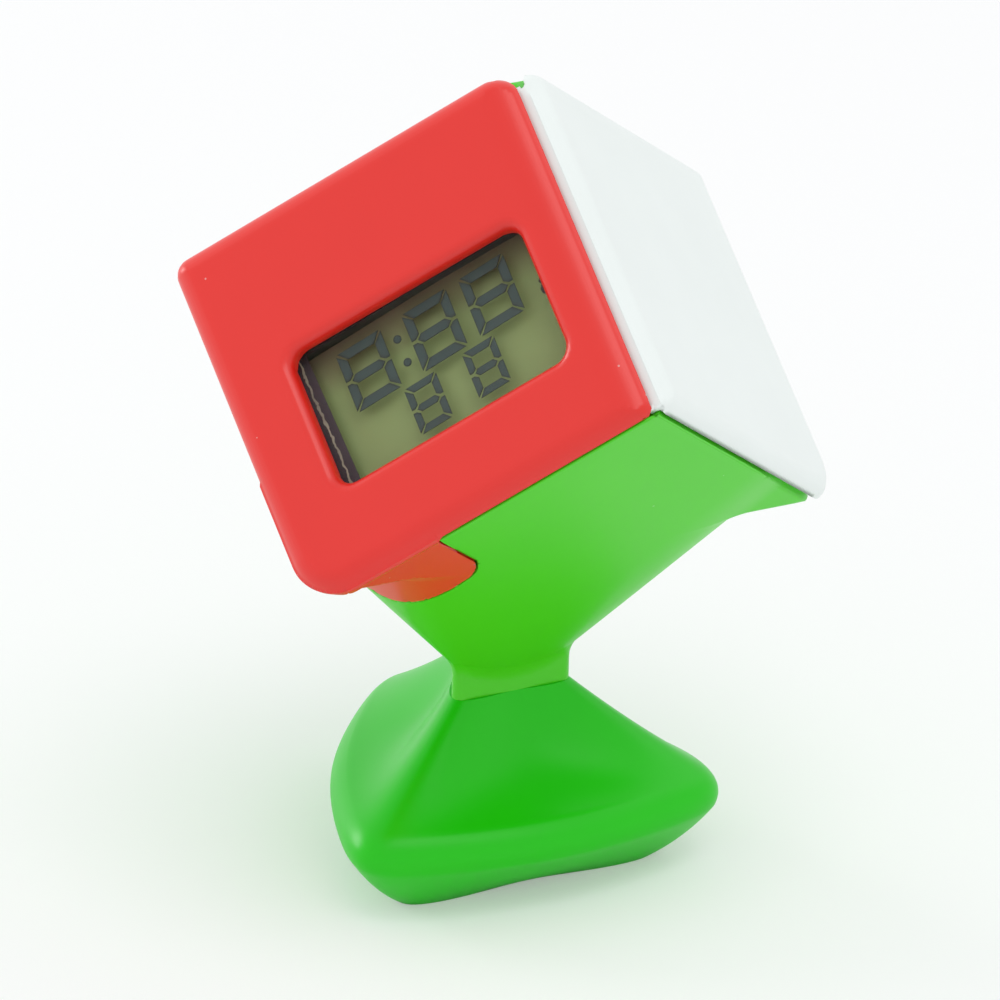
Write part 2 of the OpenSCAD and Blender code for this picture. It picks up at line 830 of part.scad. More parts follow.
corner_profile = profile(neck_round, rim_corner, base_corner, 0.2);
side_profile = profile(neck_flat, rim_side, base_side, face_hollow);
// Corner softness at the ends of the three curves
softness = [12.7, 9, 9, 5];

// Rings of the foot: one list of points for each step down
foot_sides = 72;
curve_steps = [9, 7, 6];

function foot_ring(part, t) =
    let (
        c = curve(corner_profile[part][0], corner_profile[part][1], corner_profile[part][2], t),
        m = curve(side_profile[part][0], side_profile[part][1], side_profile[part][2], t),
        soft = softness[part] + (softness[part + 1] - softness[part]) * t
    )
    [for (i = [0 : foot_sides - 1])
        let (
            a = 360 * i / foot_sides,
            g = corner_share(a, soft),
            p = m + (c - m) * g,
            turn = a - 30
        )
        [p[0] * cos(turn), p[0] * sin(turn), p[1]]];

module foot_form() {
    loft(concat(
        [for (part = [2 : -1 : 0]) for (k = [curve_steps[part] : -1 : 1])
            foot_ring(part, k / curve_steps[part])],
        [foot_ring(0, 0)]));
}

// Outline of the foot's pocket, drawn in from the flat underside
module pocket_outline(inset) {
    intersection() {
        circle(base_corner - foot_wall - inset);
        rotate(30) circle(2 * (base_side - foot_wall + 0.6 - inset), $fn = 3);
    }
}

module foot() {
    color("#2FC015") from_corner() difference() {
        foot_form();
        translate([0, 0, socket_floor]) linear_extrude(far)
            neck_outline(spigot_step - spigot_gap);
        translate([0, 0, desk - over]) linear_extrude(over + plug_recess + plug_thick)
            pocket_outline(0);
        translate([0, 0, desk - over]) linear_extrude(over + pocket_top - desk)
            pocket_outline(plug_ledge);
        translate([0, 0, desk - over])
            cylinder(r = foot_screw_head_r + 0.3, h = web_bottom - desk + over);
        translate([0, 0, desk - over])
            cylinder(r = foot_screw_r + screw_clear, h = far);
    }
}

module foot_plug() {
    color("#2FC015") from_corner() translate([0, 0, desk + plug_recess])
        linear_extrude(plug_thick) pocket_outline(plug_gap);
}

// ---------------------------------------------------------------- screws

// Pan head screw: thread up +Z from the head's underside, with a cross slot
module screw(r, l, head_r, head) {
    slot = head_r * 0.28;
    difference() {
        union() {
            cylinder(r = r, h = l);
            translate([0, 0, -head]) cylinder(r = head_r, h = head);
        }
        for (a = [0, 90])
            rotate(a) translate([-head_r * 0.6, -slot / 2, -head - over])
                cube([head_r * 1.2, slot, head * 0.5 + over]);
    }
}

// Countersunk screw, pointing down -Z from the top of its head
module flat_screw() {
    slot = screw_head_r * 0.28;
    difference() {
        union() {
            translate([0, 0, -screw_l]) cylinder(r = screw_r, h = screw_l);
            translate([0, 0, -screw_head]) cylinder(h = screw_head, r1 = screw_r, r2 = screw_head_r);
        }
        for (a = [0, 90])
            rotate(a) translate([-screw_head_r * 0.6, -slot / 2, -screw_head * 0.5])
                cube([screw_head_r * 1.2, slot, screw_head]);
    }
}

module foot_screw() {
    color("#B8BCC2") from_corner() translate([0, 0, web_bottom])
        screw(foot_screw_r, foot_screw_l, foot_screw_head_r, foot_screw_head);
}

module board_screws() {
    color("#B8BCC2") cube_frame()
        for (y = screw_ys)
            translate([board_back, y, board_screw_z]) rotate([0, 90, 0])
                screw(screw_r, screw_l, screw_head_r, screw_head);
}

// ---------------------------------------------------------------- display stack

module lcd_front_glass() {
    color("#C9D6C4", 0.5) cube_frame() on_glass(front_glass_x)
        linear_extrude(glass_thick) square([lcd_w, lcd_h], center = true);
}

// The rear glass stops short of the contact ledge along the top
module rear_area(inset) {
    translate([-lcd_w / 2 + inset, -lcd_h / 2 + inset])
        square([lcd_w - 2 * inset, rear_h - 2 * inset]);
}

module lcd_rear_glass() {
    color("#C9D6C4", 0.5) cube_frame() on_glass(rear_glass_x)
        linear_extrude(glass_thick) rear_area(0);
}

module front_polarizer() {
    color("#7C8466", 0.4) cube_frame() on_glass(polarizer_x)
        linear_extrude(film_thick) rear_area(0.3);
}

module rear_reflector() {
    color("#76855C") cube_frame() on_glass(reflector_x)
        linear_extrude(film_thick) rear_area(0.3);
}

// Seal line between the glasses, open for the filling gap on the right
seal_w = 0.7;

module lcd_seal() {
    color("#4A4450") cube_frame() on_glass(rear_glass_x + glass_thick)
        linear_extrude(cell_gap) difference() {
            rear_area(0.2);
            rear_area(0.2 + seal_w);
            translate([lcd_w / 2 - seal_w - over, -lcd_h / 2 + rear_h / 2 - fill_w / 2])
                square([seal_w + 2 * over, fill_w]);
        }
}

module lcd_fill_plug() {
    color("#2C2A26") cube_frame() on_glass(rear_glass_x)
        translate([lcd_w / 2, -lcd_h / 2 + rear_h / 2 - fill_w / 2, 0.2])
            cube([0.3, fill_w, 2 * glass_thick + cell_gap - 0.4]);
}

// Points of a digit leant over, moved to [x, y] and flipped about its middle by fx and fy
function lean(points, w, h, fx, fy) = [for (p = points)
    let (x = fx ? w - p[0] : p[0], y = fy ? h - p[1] : p[1])
    [x + y * tan(digit_lean), y]];

// Segment on the top or the bottom: its inner edge is shorter by the stroke at each end
function bar(w, s, g) = [[g, 0], [w - g, 0], [w - s - g / 2, s], [s + g / 2, s]];

// Upright segment of a half digit, on the left edge
function upright(h, s, g) = [[0, g], [s, s + g / 2], [s, h / 2 - s / 2 - g / 2],
    [s / 2, h / 2 - g], [0, h / 2 - g]];

// Middle segment with pointed ends
function middle(w, h, s, g) = [[s / 2 + g, h / 2], [s + g, h / 2 + s / 2],
    [w - s - g, h / 2 + s / 2], [w - s / 2 - g, h / 2], [w - s - g, h / 2 - s / 2],
    [s + g, h / 2 - s / 2]];

// One figure eight with all seven segments, its lower left corner at the origin
module figure_eight(w, h, s) {
    g = segment_gap;
    polygon(lean(middle(w, h, s, g), w, h, false, false));
    for (fy = [false, true]) {
        polygon(lean(bar(w, s, g), w, h, false, fy));
        for (fx = [false, true]) polygon(lean(upright(h, s, g), w, h, fx, fy));
    }
}

// Places of the digits from the window's middle
big_xs = [-8.35, -1.65, 4.15];
big_y = 0.05;
small_xs = [-4.05, 1.85];
small_y = -4.8;
dots_x = -2.6;
dot_ys = [1.65, 3.95];

module lcd_segments() {
    color("#3A4646") cube_frame() on_glass(rear_glass_x + glass_thick)
        linear_extrude(cell_gap) {
            for (x = big_xs) translate([x, big_y]) figure_eight(big_w, big_h, big_stroke);
            for (x = small_xs) translate([x, small_y]) figure_eight(small_w, small_h, small_stroke);
            for (y = dot_ys) translate([dots_x, y]) square(dot_w, center = true);
        }
}

module lcd_frame() {
    front = cap_back - 0.05;
    color("#F2F2EE") cube_frame() difference() {
        union() {
            on_display(board_front) linear_extrude(front - board_front)
                translate([frame_y, window_z]) square([frame_w, frame_h], center = true);
            for (s = [-1, 1])
                translate([board_back - 0.3, frame_y + s * (board_w / 2 - peg_in), board_z + peg_in])
                    rotate([0, 90, 0]) cylinder(r = peg_r, h = board_thick + 0.3 + over);
        }
        on_display(reflector_x) linear_extrude(far) translate([frame_y, window_z])
            square([pocket_w, pocket_h], center = true);
        on_display(board_front - over) linear_extrude(far) translate([frame_y, window_z])
            square([pocket_w - 2 * frame_shelf, pocket_h - 2 * frame_shelf], center = true);
        // Room for the zebra strip under the contact ledge
        translate([board_front - over, frame_y - pocket_w / 2, zebra_z - zebra_thick / 2 - 0.1])
            cube([far, pocket_w, pocket_h / 2 - (zebra_z - zebra_thick / 2 - 0.1 - window_z)]);
    }
}

zebra_z = window_z + lcd_h / 2 - 0.55;
zebra_in = 1;

module zebra_strip() {
    color("#3B3B3F") cube_frame()
        translate([board_front, frame_y - lcd_w / 2 + zebra_in, zebra_z - zebra_thick / 2])
            cube([front_glass_x - board_front, lcd_w - 2 * zebra_in, zebra_thick]);
}

// ---------------------------------------------------------------- circuit board

module circuit_board() {
    color("#2E6B3A") cube_frame() difference() {
        on_display(board_back) linear_extrude(board_thick)
            translate([board_y, board_z]) square([board_w, board_h]);
        for (y = screw_ys)
            translate([board_back - over, y, board_screw_z]) rotate([0, 90, 0])
                cylinder(r = screw_r + screw_clear, h = board_thick + 2 * over);
        for (s = [-1, 1])
            translate([board_back - over, frame_y + s * (board_w / 2 - peg_in), board_z + peg_in])
                rotate([0, 90, 0]) cylinder(r = peg_r + 0.05, h = board_thick + 2 * over);
    }
}

// Places on the board's back
module on_board(at) {
    translate([board_back, board_y + at[0], board_z + at[1]]) rotate([0, -90, 0]) children();
}

module chip_blob() {
    ball = (blob_r * blob_r + blob_h * blob_h) / (2 * blob_h);
    color("#1B1B1D") cube_frame() on_board(blob_at) intersection() {
        translate([0, 0, blob_h - ball]) sphere(ball);
        cylinder(r = blob_r, h = blob_h);
    }
}

module crystal() {
    color("#C6C8CC") cube_frame() on_board(crystal_at)
        translate([0, 0, crystal_r]) rotate([-90, 0, 0]) cylinder(r = crystal_r, h = crystal_l);
}

// Row of chips along the board
module chip_row(h) {
    for (i = [0 : chips - 1]) translate([0, i * (chip_w + chip_space), 0])
        cube([chip_l, chip_w, h]);
}

module chip_capacitors() {
    color("#B79A6B") cube_frame() on_board(capacitors_at) chip_row(cap_h);
}

module chip_resistors() {
    color("#2B2B2E") cube_frame() on_board(resistors_at) chip_row(res_h);
}

// ---------------------------------------------------------------- switches

// Side-pressed switch on the board; its plunger runs along local +X from its face at 0
module switch_body() {
    difference() {
        translate([-switch_d, -switch_w / 2, 0]) cube([switch_d, switch_w, switch_h]);
        translate([-plunger_in - travel - 0.1, 0, plunger_rise]) rotate([0, 90, 0])
            cylinder(r = plunger_r + slide_gap, h = plunger_in + travel + over);
    }
}

module switch_plunger() {
    translate([-plunger_in, 0, plunger_rise]) rotate([0, 90, 0])
        cylinder(r = plunger_r, h = plunger_in + plunger_out - 0.02);
}

// The start switch looks to +Y and the reset switch to +Z; both stand off the board to -X
module start_place() {
    translate([board_back, start_face, start_z]) rotate([-90, 0, 90]) children();
}

module reset_place() {
    translate([board_back, reset_y, reset_face]) rotate([0, -90, 0]) children();
}

module start_switch() {
    color("#26272A") cube_frame() start_place() switch_body();
}

module start_plunger() {
    color("#D8D6CC") cube_frame() start_place() switch_plunger();
}

module reset_switch() {
    color("#26272A") cube_frame() reset_place() switch_body();
}

module reset_plunger() {
    color("#D8D6CC") cube_frame() reset_place() switch_plunger();
}

module reset_button() {
    color("#ECF2F0") cube_frame() translate([plunger_x, reset_y, 0]) {
        translate([0, 0, reset_tip]) cylinder(r = press_r, h = inner - reset_tip);
        translate([0, 0, inner - reset_flange - 0.05]) cylinder(r = reset_flange_r, h = reset_flange);
        translate([0, 0, inner - reset_flange]) cylinder(r = reset_r,
            h = wall + reset_flange + reset_out);
    }
}

// ---------------------------------------------------------------- battery

module button_cell() {
    color("#C9CBCF") cube_frame() translate([well_x, well_y, cell_top - cell_h]) {
        cylinder(r = cell_r - 0.9, h = 0.4);
        translate([0, 0, 0.4]) cylinder(r = cell_r, h = cell_h - 0.4);
    }
}

module negative_contact() {
    color("#C8B46A") cube_frame() translate([well_x, well_y, well_floor]) {
        cylinder(r = cell_r - 1.6, h = contact_thick);
        translate([-contact_w / 2, 0, 0])
            cube([contact_w, well_r - contact_thick - 0.2, contact_thick]);
        translate([-contact_w / 2, well_r - contact_thick - 0.5, -well_wall - tab_l])
            cube([contact_w, contact_thick, well_wall + tab_l + contact_thick]);
    }
}

module positive_contact() {
    color("#C8B46A") cube_frame()
        translate([well_x + cell_r + 0.05, well_y - contact_w / 2, well_bottom - tab_l])
            cube([contact_thick, contact_w, cell_top - 0.4 - well_bottom + tab_l]);
}

// Point and direction on a four-point curve
function bend_point(c, t) =
    let (u = 1 - t)
    u * u * u * c[0] + 3 * u * u * t * c[1] + 3 * u * t * t * c[2] + t * t * t * c[3];

function bend_way(c, t) =
    let (u = 1 - t, d = u * u * (c[1] - c[0]) + 2 * u * t * (c[2] - c[1]) + t * t * (c[3] - c[2]))
    d / norm(d);

// Round wire from a to b: it leaves a along way_a and reaches b along way_b, and side is a
// direction that it never runs in
module wire(a, way_a, b, way_b, side) {
    c = [a, a + way_a, b - way_b, b];
    steps = 16;
    sides = 12;
    loft([for (k = [0 : steps])
        let (
            p = bend_point(c, k / steps),
            d = bend_way(c, k / steps),
            u = cross(side, d) / norm(cross(side, d)),
            v = cross(d, u)
        )
        [for (i = [0 : sides - 1]) let (q = 360 * i / sides)
            p + wire_r * (cos(q) * u + sin(q) * v)]]);
}

// Soldered ends of the two wires on the contacts' tabs and on the board's back, and how
// straight each wire leaves them
pad_drop = 1.6;
pos_side = 4.6;
neg_side = 3.4;
pos_bow = 4;
neg_lead = 3.2;
neg_bow = 9;
pos_tab = [well_x + cell_r + 0.1 + contact_thick, well_y, well_bottom - tab_l / 2];
neg_tab = [well_x, well_y + well_r - 0.45, well_bottom - tab_l / 2];
pos_pad = [board_back - 0.05, well_y - pos_side, pos_tab[2] - pad_drop];
neg_pad = [board_back - 0.05, neg_tab[1] + neg_side, neg_tab[2] - pad_drop];

module positive_wire() {
    color("#C8262A") cube_frame()
        wire(pos_tab, [pos_bow, 0, 0], pos_pad, [pos_bow, 0, 0], [0, 0, 1]);
}

module negative_wire() {
    color("#222226") cube_frame()
        wire(neg_tab, [0, neg_lead, 0], neg_pad, [neg_bow, 0, 0], [0, 0, 1]);
}

module battery_door() {
    color("#46CF2C") cube_frame() difference() {
        translate([door_x, door_y, door_seat]) linear_extrude(door_thick)
            polygon(soft_rect(door_w, door_l, door_round));
        for (s = [-1, 1]) translate([door_x, door_y + s * door_screw_y, 0]) {
            translate([0, 0, door_seat - over])
                cylinder(r = screw_r + screw_clear, h = door_thick + 2 * over);
            translate([0, 0, cube_edge - screw_head - 0.05])
                cylinder(h = screw_head + 0.05, r1 = screw_r + screw_clear,
                    r2 = screw_head_r + screw_clear);
        }
    }
}

module battery_door_screws() {
    color("#B8BCC2") cube_frame()
        for (s = [-1, 1])
            translate([door_x, door_y + s * door_screw_y, cube_edge - 0.05]) flat_screw();
}

// ---------------------------------------------------------------- nodes

display_cap();
start_plate();
body_shell();
foot();
foot_screw();
foot_plug();
lcd_front_glass();
lcd_rear_glass();
front_polarizer();
rear_reflector();
lcd_segments();
lcd_seal();
lcd_fill_plug();
lcd_frame();
zebra_strip();
circuit_board();
chip_blob();
crystal();
chip_capacitors();
chip_resistors();
board_screws();
start_switch();
start_plunger();
reset_button();
reset_switch();
reset_plunger();
battery_door();
battery_door_screws();
button_cell();
negative_contact();
positive_contact();
positive_wire();
negative_wire();
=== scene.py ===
# %% [markdown]
# # A desk timer shaped like the corner of a puzzle cube
# A red cap with a display, a white press plate and a green body stand on a waisted foot. The packed
# CAD model is the fixed frame: it says where everything is. This script dresses it. Lengths in the
# form cells are millimetres, because that is how a maker thinks of this object; they turn into
# metres when a mesh is made.

# %% Load the frame
import math
import bpy
import numpy as np
from mathutils import Matrix, Vector


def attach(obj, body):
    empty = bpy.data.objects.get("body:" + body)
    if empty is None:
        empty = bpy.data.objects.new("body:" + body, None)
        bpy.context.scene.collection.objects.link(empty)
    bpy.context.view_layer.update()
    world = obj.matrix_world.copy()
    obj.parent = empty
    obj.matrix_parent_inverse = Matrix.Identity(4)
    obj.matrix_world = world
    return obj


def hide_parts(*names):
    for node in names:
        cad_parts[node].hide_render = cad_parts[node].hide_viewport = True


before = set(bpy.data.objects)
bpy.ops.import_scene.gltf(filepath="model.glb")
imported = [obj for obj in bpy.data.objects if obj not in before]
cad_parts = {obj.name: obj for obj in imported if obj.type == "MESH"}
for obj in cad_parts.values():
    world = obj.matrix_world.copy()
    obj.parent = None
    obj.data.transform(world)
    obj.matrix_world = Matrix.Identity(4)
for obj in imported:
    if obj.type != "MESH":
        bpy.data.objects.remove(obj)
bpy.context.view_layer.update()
MM = 0.001

# %% [markdown]
# ## The camera
# The timer was photographed with a long lens from the right and a little above. The view below was
# solved from the cube's own corners, so the render falls on the photograph. A camera looks along its
# own -Z, so its matrix is built from three directions: right, up and back.

# %% Set the camera
view_azimuth, view_height, view_roll = 32.9461, 25.5669, 1.4515
az, el, roll = (math.radians(a) for a in (view_azimuth, view_height, view_roll))
level = Vector((math.cos(az), math.sin(az), 0))
back = Vector((math.sin(az) * math.cos(el), -math.cos(az) * math.cos(el), math.sin(el)))
upward = back.cross(level)
right = level * math.cos(roll) + upward * math.sin(roll)
up = upward * math.cos(roll) - level * math.sin(roll)
camera = bpy.data.objects.new("camera", bpy.data.cameras.new("camera"))
camera.data.sensor_width = 36
camera.data.lens = 481.53
camera.data.clip_end = 50
camera.matrix_world = Matrix((right, up, back)).transposed().to_4x4()
camera.location = (0.555776, -0.857642, 0.521631)
bpy.context.collection.objects.link(camera)
bpy.context.scene.camera = camera
print("camera at", [round(c, 3) for c in camera.location], "lens", camera.data.lens, "mm")

# %% [markdown]
# ## The cube's own directions
# The object is a cube that stands on one corner. Its three edges make a skewed set of axes for this
# scene, but straight ones for the cube: a out of the display, b out of the white plate and c out of
# the service face. A form that is written in a, b and c is simple, and its flat faces fall on the
# grid that the meshes are made from. The cube's faces lie at edge, the raised faces at proud, and rim_w
# is the rim that the display's opening leaves of a face.

# %% Cube directions
corner_height = 13.1
edge, proud, wall, rim_w = 34.4, 36.0, 1.6, 2.4
inner = edge - wall
CUBE = np.array([[0, -math.sqrt(2 / 3), 1 / math.sqrt(3)],
                 [math.sqrt(1 / 2), math.sqrt(1 / 6), 1 / math.sqrt(3)],
                 [-math.sqrt(1 / 2), math.sqrt(1 / 6), 1 / math.sqrt(3)]])


def upright(p):
    """Cube coordinates to x, y, z over the cube's lowest corner."""
    return p @ CUBE


def to_scene(p):
    """Cube coordinates to metres in the scene."""
    return (upright(p) + [0, 0, corner_height]) * MM


print("tip of the display face at", to_scene(np.array([edge, 0, 0])).round(4))

# %% [markdown]
# ## Forms as distances
# A soft moulding is all fillets: planes, a cone and a ball that melt into each other. Bevelled
# meshes break where three such fillets meet. A distance function doesn't: it says for each point how
# far the surface is, and a rounded union or cut is one line. The functions below are the words that
# the mouldings are written in. Negative is inside the material.

# %% Words for forms
def cut(*parts):
    """Where all parts overlap. A part with a minus sign is taken away."""
    return np.stack(parts).max(0)


def join(*parts):
    return np.stack(parts).min(0)


def cut_round(r, *parts):
    """Where all parts overlap, with the outer edges rounded by r."""
    d = np.stack(parts)
    return np.minimum(-r, d.max(0)) + np.linalg.norm(np.maximum(d + r, 0), axis=0)


def join_round(r, a, b):
    """Both parts together, with a fillet of radius r in the corner between them."""
    u = np.maximum(r - np.stack([a, b]), 0)
    return np.maximum(r, np.minimum(a, b)) - np.linalg.norm(u, axis=0)


def cut_soft(k, a, b):
    """Where both overlap, melted together over a width k."""
    h = np.maximum(k - np.abs(a - b), 0) / k
    return np.maximum(a, b) + h * h * k / 4


def box(p, lo, hi):
    return np.maximum(lo - p, p - hi).max(-1)


def rod(p, axis, spot, r, lo, hi):
    """Cylinder of radius r along one cube axis from lo to hi."""
    others = [i for i in range(3) if i != axis]
    d = np.hypot(p[:, others[0]] - spot[0], p[:, others[1]] - spot[1]) - r
    return cut(d, lo - p[:, axis], p[:, axis] - hi)


def soft_rect(u, v, low, high, radii):
    """Flat outline with its own radius at each corner, from the low one round."""
    cx, cy = (low[0] + high[0]) / 2, (low[1] + high[1]) / 2
    r = np.where(u < cx, np.where(v < cy, radii[0], radii[3]), np.where(v < cy, radii[1], radii[2]))
    qx = np.abs(u - cx) - (high[0] - low[0]) / 2 + r
    qy = np.abs(v - cy) - (high[1] - low[1]) / 2 + r
    return np.minimum(np.maximum(qx, qy), 0) + np.hypot(np.maximum(qx, 0), np.maximum(qy, 0)) - r


# %% [markdown]
# ## From distances to a mesh
# A grid of points is laid through the form. Each cell that the surface runs through gets one
# vertex, and each grid edge that it crosses gets one face: a surface net. The vertices are then
# pulled onto the exact surface, and the surface's own slope gives the normals, so a fillet shades as
# round as it is even where the mesh is coarse. A bevel on a boolean cut would leave slivers here.

# %% Surface net
flat_share, corner_pull = 0.12, 0.3


def slope(f, p, h=0.004):
    """Direction in which f grows, which is the surface's outward normal."""
    g = np.stack([(f(p + v) - f(p - v)) for v in np.eye(3) * h], -1)
    return g / np.maximum(np.linalg.norm(g, axis=1, keepdims=True), 1e-9)


def net_cells(f, low, high, step):
    """Crossings of the grid's edges: for each the two grid points' spot, its place and its slope."""
    axes = [np.arange(low[i], high[i] + step, step) for i in range(3)]
    shape = tuple(len(a) for a in axes)
    grid = np.stack(np.meshgrid(*axes, indexing="ij"), -1).reshape(-1, 3)
    d = np.concatenate([f(chunk) for chunk in np.array_split(grid, 12)]).reshape(shape)
    found = []
    for i in range(3):
        d0 = np.moveaxis(np.moveaxis(d, i, 0)[:-1], 0, i)
        d1 = np.moveaxis(np.moveaxis(d, i, 0)[1:], 0, i)
        at = np.argwhere((d0 < 0) != (d1 < 0))
        v0, v1 = d0[tuple(at.T)], d1[tuple(at.T)]
        spot = at.astype(float)
        spot[:, i] += v0 / (v0 - v1)
        spot = np.array(low) + spot * step
        found.append((at, v0 < 0, spot, slope(f, spot)))
    return found, tuple(s - 1 for s in shape)


def surface_net(f, low, high, step):
    """Vertices and faces of the surface where f is zero. A vertex sits where its cell's tangent
    planes meet, so edges stay straight."""
    found, cells = net_cells(f, low, high, step)
    size = int(np.prod(cells))
    total, planes, sums, count = np.zeros((size, 3)), np.zeros((size, 9)), np.zeros((size, 3)), np.zeros(size)
    rings = []
    for i, (at, inside, spot, way) in enumerate(found):
        j, k = (i + 1) % 3, (i + 2) % 3
        keep = (at[:, j] > 0) & (at[:, k] > 0) & (at[:, j] < cells[j]) & (at[:, k] < cells[k])
        at, inside, spot, way = at[keep], inside[keep], spot[keep], way[keep]
        outer = (way[:, :, None] * way[:, None, :]).reshape(-1, 9)
        reach = way * (way * spot).sum(1, keepdims=True)
        ring = []
        for dj, dk in ((-1, -1), (0, -1), (0, 0), (-1, 0)):
            cell = at.copy()
            cell[:, j] += dj
            cell[:, k] += dk
            flat = np.ravel_multi_index(tuple(cell.T), cells)
            ring.append(flat)
            for store, values in ((total, spot), (planes, outer), (sums, reach)):
                for column in range(values.shape[1]):
                    store[:, column] += np.bincount(flat, values[:, column], size)
            count += np.bincount(flat, minlength=size)
        ring = np.stack(ring, 1)
        ring[~inside] = ring[~inside][:, ::-1]
        rings.append(ring)
    used = np.flatnonzero(count)
    middle = total[used] / count[used][:, None]
    a = planes[used].reshape(-1, 3, 3)
    rest = sums[used] - np.einsum("nij,nj->ni", a, middle)
    strength, ways = np.linalg.eigh(a)
    weight = np.where(strength > flat_share * strength[:, 2:], 1 / np.maximum(strength, 1e-9), 0)
    shift = np.einsum("nij,nj,nkj,nk->ni", ways, weight, ways, rest)
    cell_low = np.array(low) + np.stack(np.unravel_index(used, cells), 1) * step
    verts = np.clip(middle + shift, cell_low, cell_low + step)
    number = np.zeros(size, dtype=int)
    number[used] = np.arange(len(used))
    return verts, number[np.concatenate(rings)]


def settle(f, p, step):
    """Moves points onto the surface."""
    for _ in range(3):
        p = p - slope(f, p) * np.clip(f(p), -step / 3, step / 3)[:, None]
    return p


# %% Mesh maker
def piece_from(name, verts, faces, normals=None, smooth=True):
    """Makes an object whose place is in its mesh. Vertices are in metres, normals one per face corner."""
    mesh = bpy.data.meshes.new(name)
    mesh.from_pydata(verts.tolist(), [], [list(f) for f in faces])
    mesh.update()
    mesh.polygons.foreach_set("use_smooth", [smooth] * len(mesh.polygons))
    if normals is not None:
        mesh.normals_split_custom_set(normals.tolist())
    piece = bpy.data.objects.new(name, mesh)
    bpy.context.collection.objects.link(piece)
    return piece


def moulding(name, f, low, high, step):
    """Object from a distance function in cube coordinates. Each face corner takes the slope a little
    inside its own face, so an edge stays crisp and a fillet stays round."""
    verts, faces = surface_net(f, low, high, step)
    verts = settle(f, verts, step)
    corners = verts[faces]
    corners = corners + (corners.mean(1, keepdims=True) - corners) * corner_pull
    normals = slope(f, corners.reshape(-1, 3)) @ CUBE
    piece = piece_from(name, to_scene(verts), faces, normals)
    print(name, len(verts), "vertices", len(faces), "faces")
    return piece


# %% [markdown]
# ## The outer form of the body
# Everything green, and the red tongue, share one outer form: the cube's lower faces, cut by a cone
# that leaves a stalk, with a level skirt left over the stalk. The flats run into the cone without a
# crease, as on a moulding that was polished, so the two are melted together.

# %% Body form
running_gap, hollow_floor, neck_top, neck_soft = 0.15, 9.6, 7.5, 0.35
stalk_round, edge_break, melt_width, crown_melt = 0.5, 0.12, 2.4, 1.2
skirt_height, skirt_round = 21.2, 1.1
stem_slope, stem_drop = math.radians(43.2), 0.7
neck_round, neck_flat, neck_bottom = 6.2, 3.5, 3.2
tip_round, face_round = 4.5, 2.0
crown_z, crown_drop = 0.7 * edge, 1.5
crown_r = math.sqrt(3) * edge - crown_drop - crown_z
lip_room_a, lip_room_b, lip_room_low = 0.8, 1.05, 0.45
tongue_reach, tongue_round, tongue_slant = 12.5, 2.0, math.radians(17)


def cone(q, inset=0.0):
    """The cone that leaves the stalk. It opens upward from just under the cube's lowest corner."""
    r = np.hypot(q[:, 0], q[:, 1])
    return (r - math.tan(stem_slope) * (q[:, 2] + stem_drop)) * math.cos(stem_slope) + inset


def skirt(p, q):
    """The level skirt over the stalk, as far out as the raised faces."""
    return cut_round(skirt_round, skirt_height - q[:, 2], p[:, 0] - proud, p[:, 1] - proud, p[:, 2] - edge)


def tips(p, inset=0.0):
    """The two lower edges that end in the raised faces' tips, rounded like the faces' corners."""
    a, b, c = p.T
    return cut(cut_round(tip_round - inset, inset - b, inset - c),
               cut_round(tip_round - inset, inset - a, inset - c))


def crown(q):
    """The ball that rounds the cube's top corner."""
    return np.linalg.norm(q - [0, 0, crown_z], axis=1) - crown_r


def body_form(p):
    """Outer form of the body. The edge between cap and plate is stepped, for the plate's lip."""
    q = upright(p)
    a, b, c = p.T
    stalk = join_round(stalk_round, cut(skirt(p, q), tips(p)), cone(q))
    lower = cut_round(face_round, c - edge, np.maximum(-b, -a))
    faces = cut_round(edge_break, lower, a - edge, b - edge, -c)
    faces = cut(faces, join(a - edge + lip_room_a, b - edge + lip_room_b, c - lip_room_low))
    return cut_soft(crown_melt, cut_soft(melt_width, faces, stalk), crown(q))


def body_hollow(p, q):
    """The room inside the walls of the cube and the stalk."""
    z = q[:, 2]
    over_skirt = cut(skirt_height + wall - z, tips(p, wall))
    return cut(box(p, [wall] * 3, [inner] * 3), join(over_skirt, cut(cone(q, wall), hollow_floor - z)))


def tongue_block(p, gap):
    """The corner that the red cap fills, with its rear edges slanted toward the display."""
    reach, x0 = tongue_reach + gap, edge - tongue_reach - gap / math.cos(tongue_slant)
    sides = []
    for u in (p[:, 1], p[:, 2]):
        rear = (x0 + math.tan(tongue_slant) * u - p[:, 0]) * math.cos(tongue_slant)
        sides.append(cut_round(tongue_round, rear, u - reach))
    return cut(*sides)


def three_sided(q, r_round, r_flat):
    """Upright prism with three flats and three round corners."""
    flats = [q[:, 0] * math.cos(t) + q[:, 1] * math.sin(t) - r_flat for t in np.radians([-30, 90, 210])]
    return cut_round(neck_soft, np.hypot(q[:, 0], q[:, 1]) - r_round, cut(*flats))


print("form at the corner's own point:", body_form(np.array([[0.0, 0.0, 0.0]])).round(3))

# %% [markdown]
# ## Body shell
# The body is a box with a wall of 1.6 mm. Inside, on the service face, it carries the battery well,
# the land under the door and two bosses for the door's screws. The same numbers place them here as
# in the CAD model. The neck runs a little into the foot, so that no gap shows in their round seam.

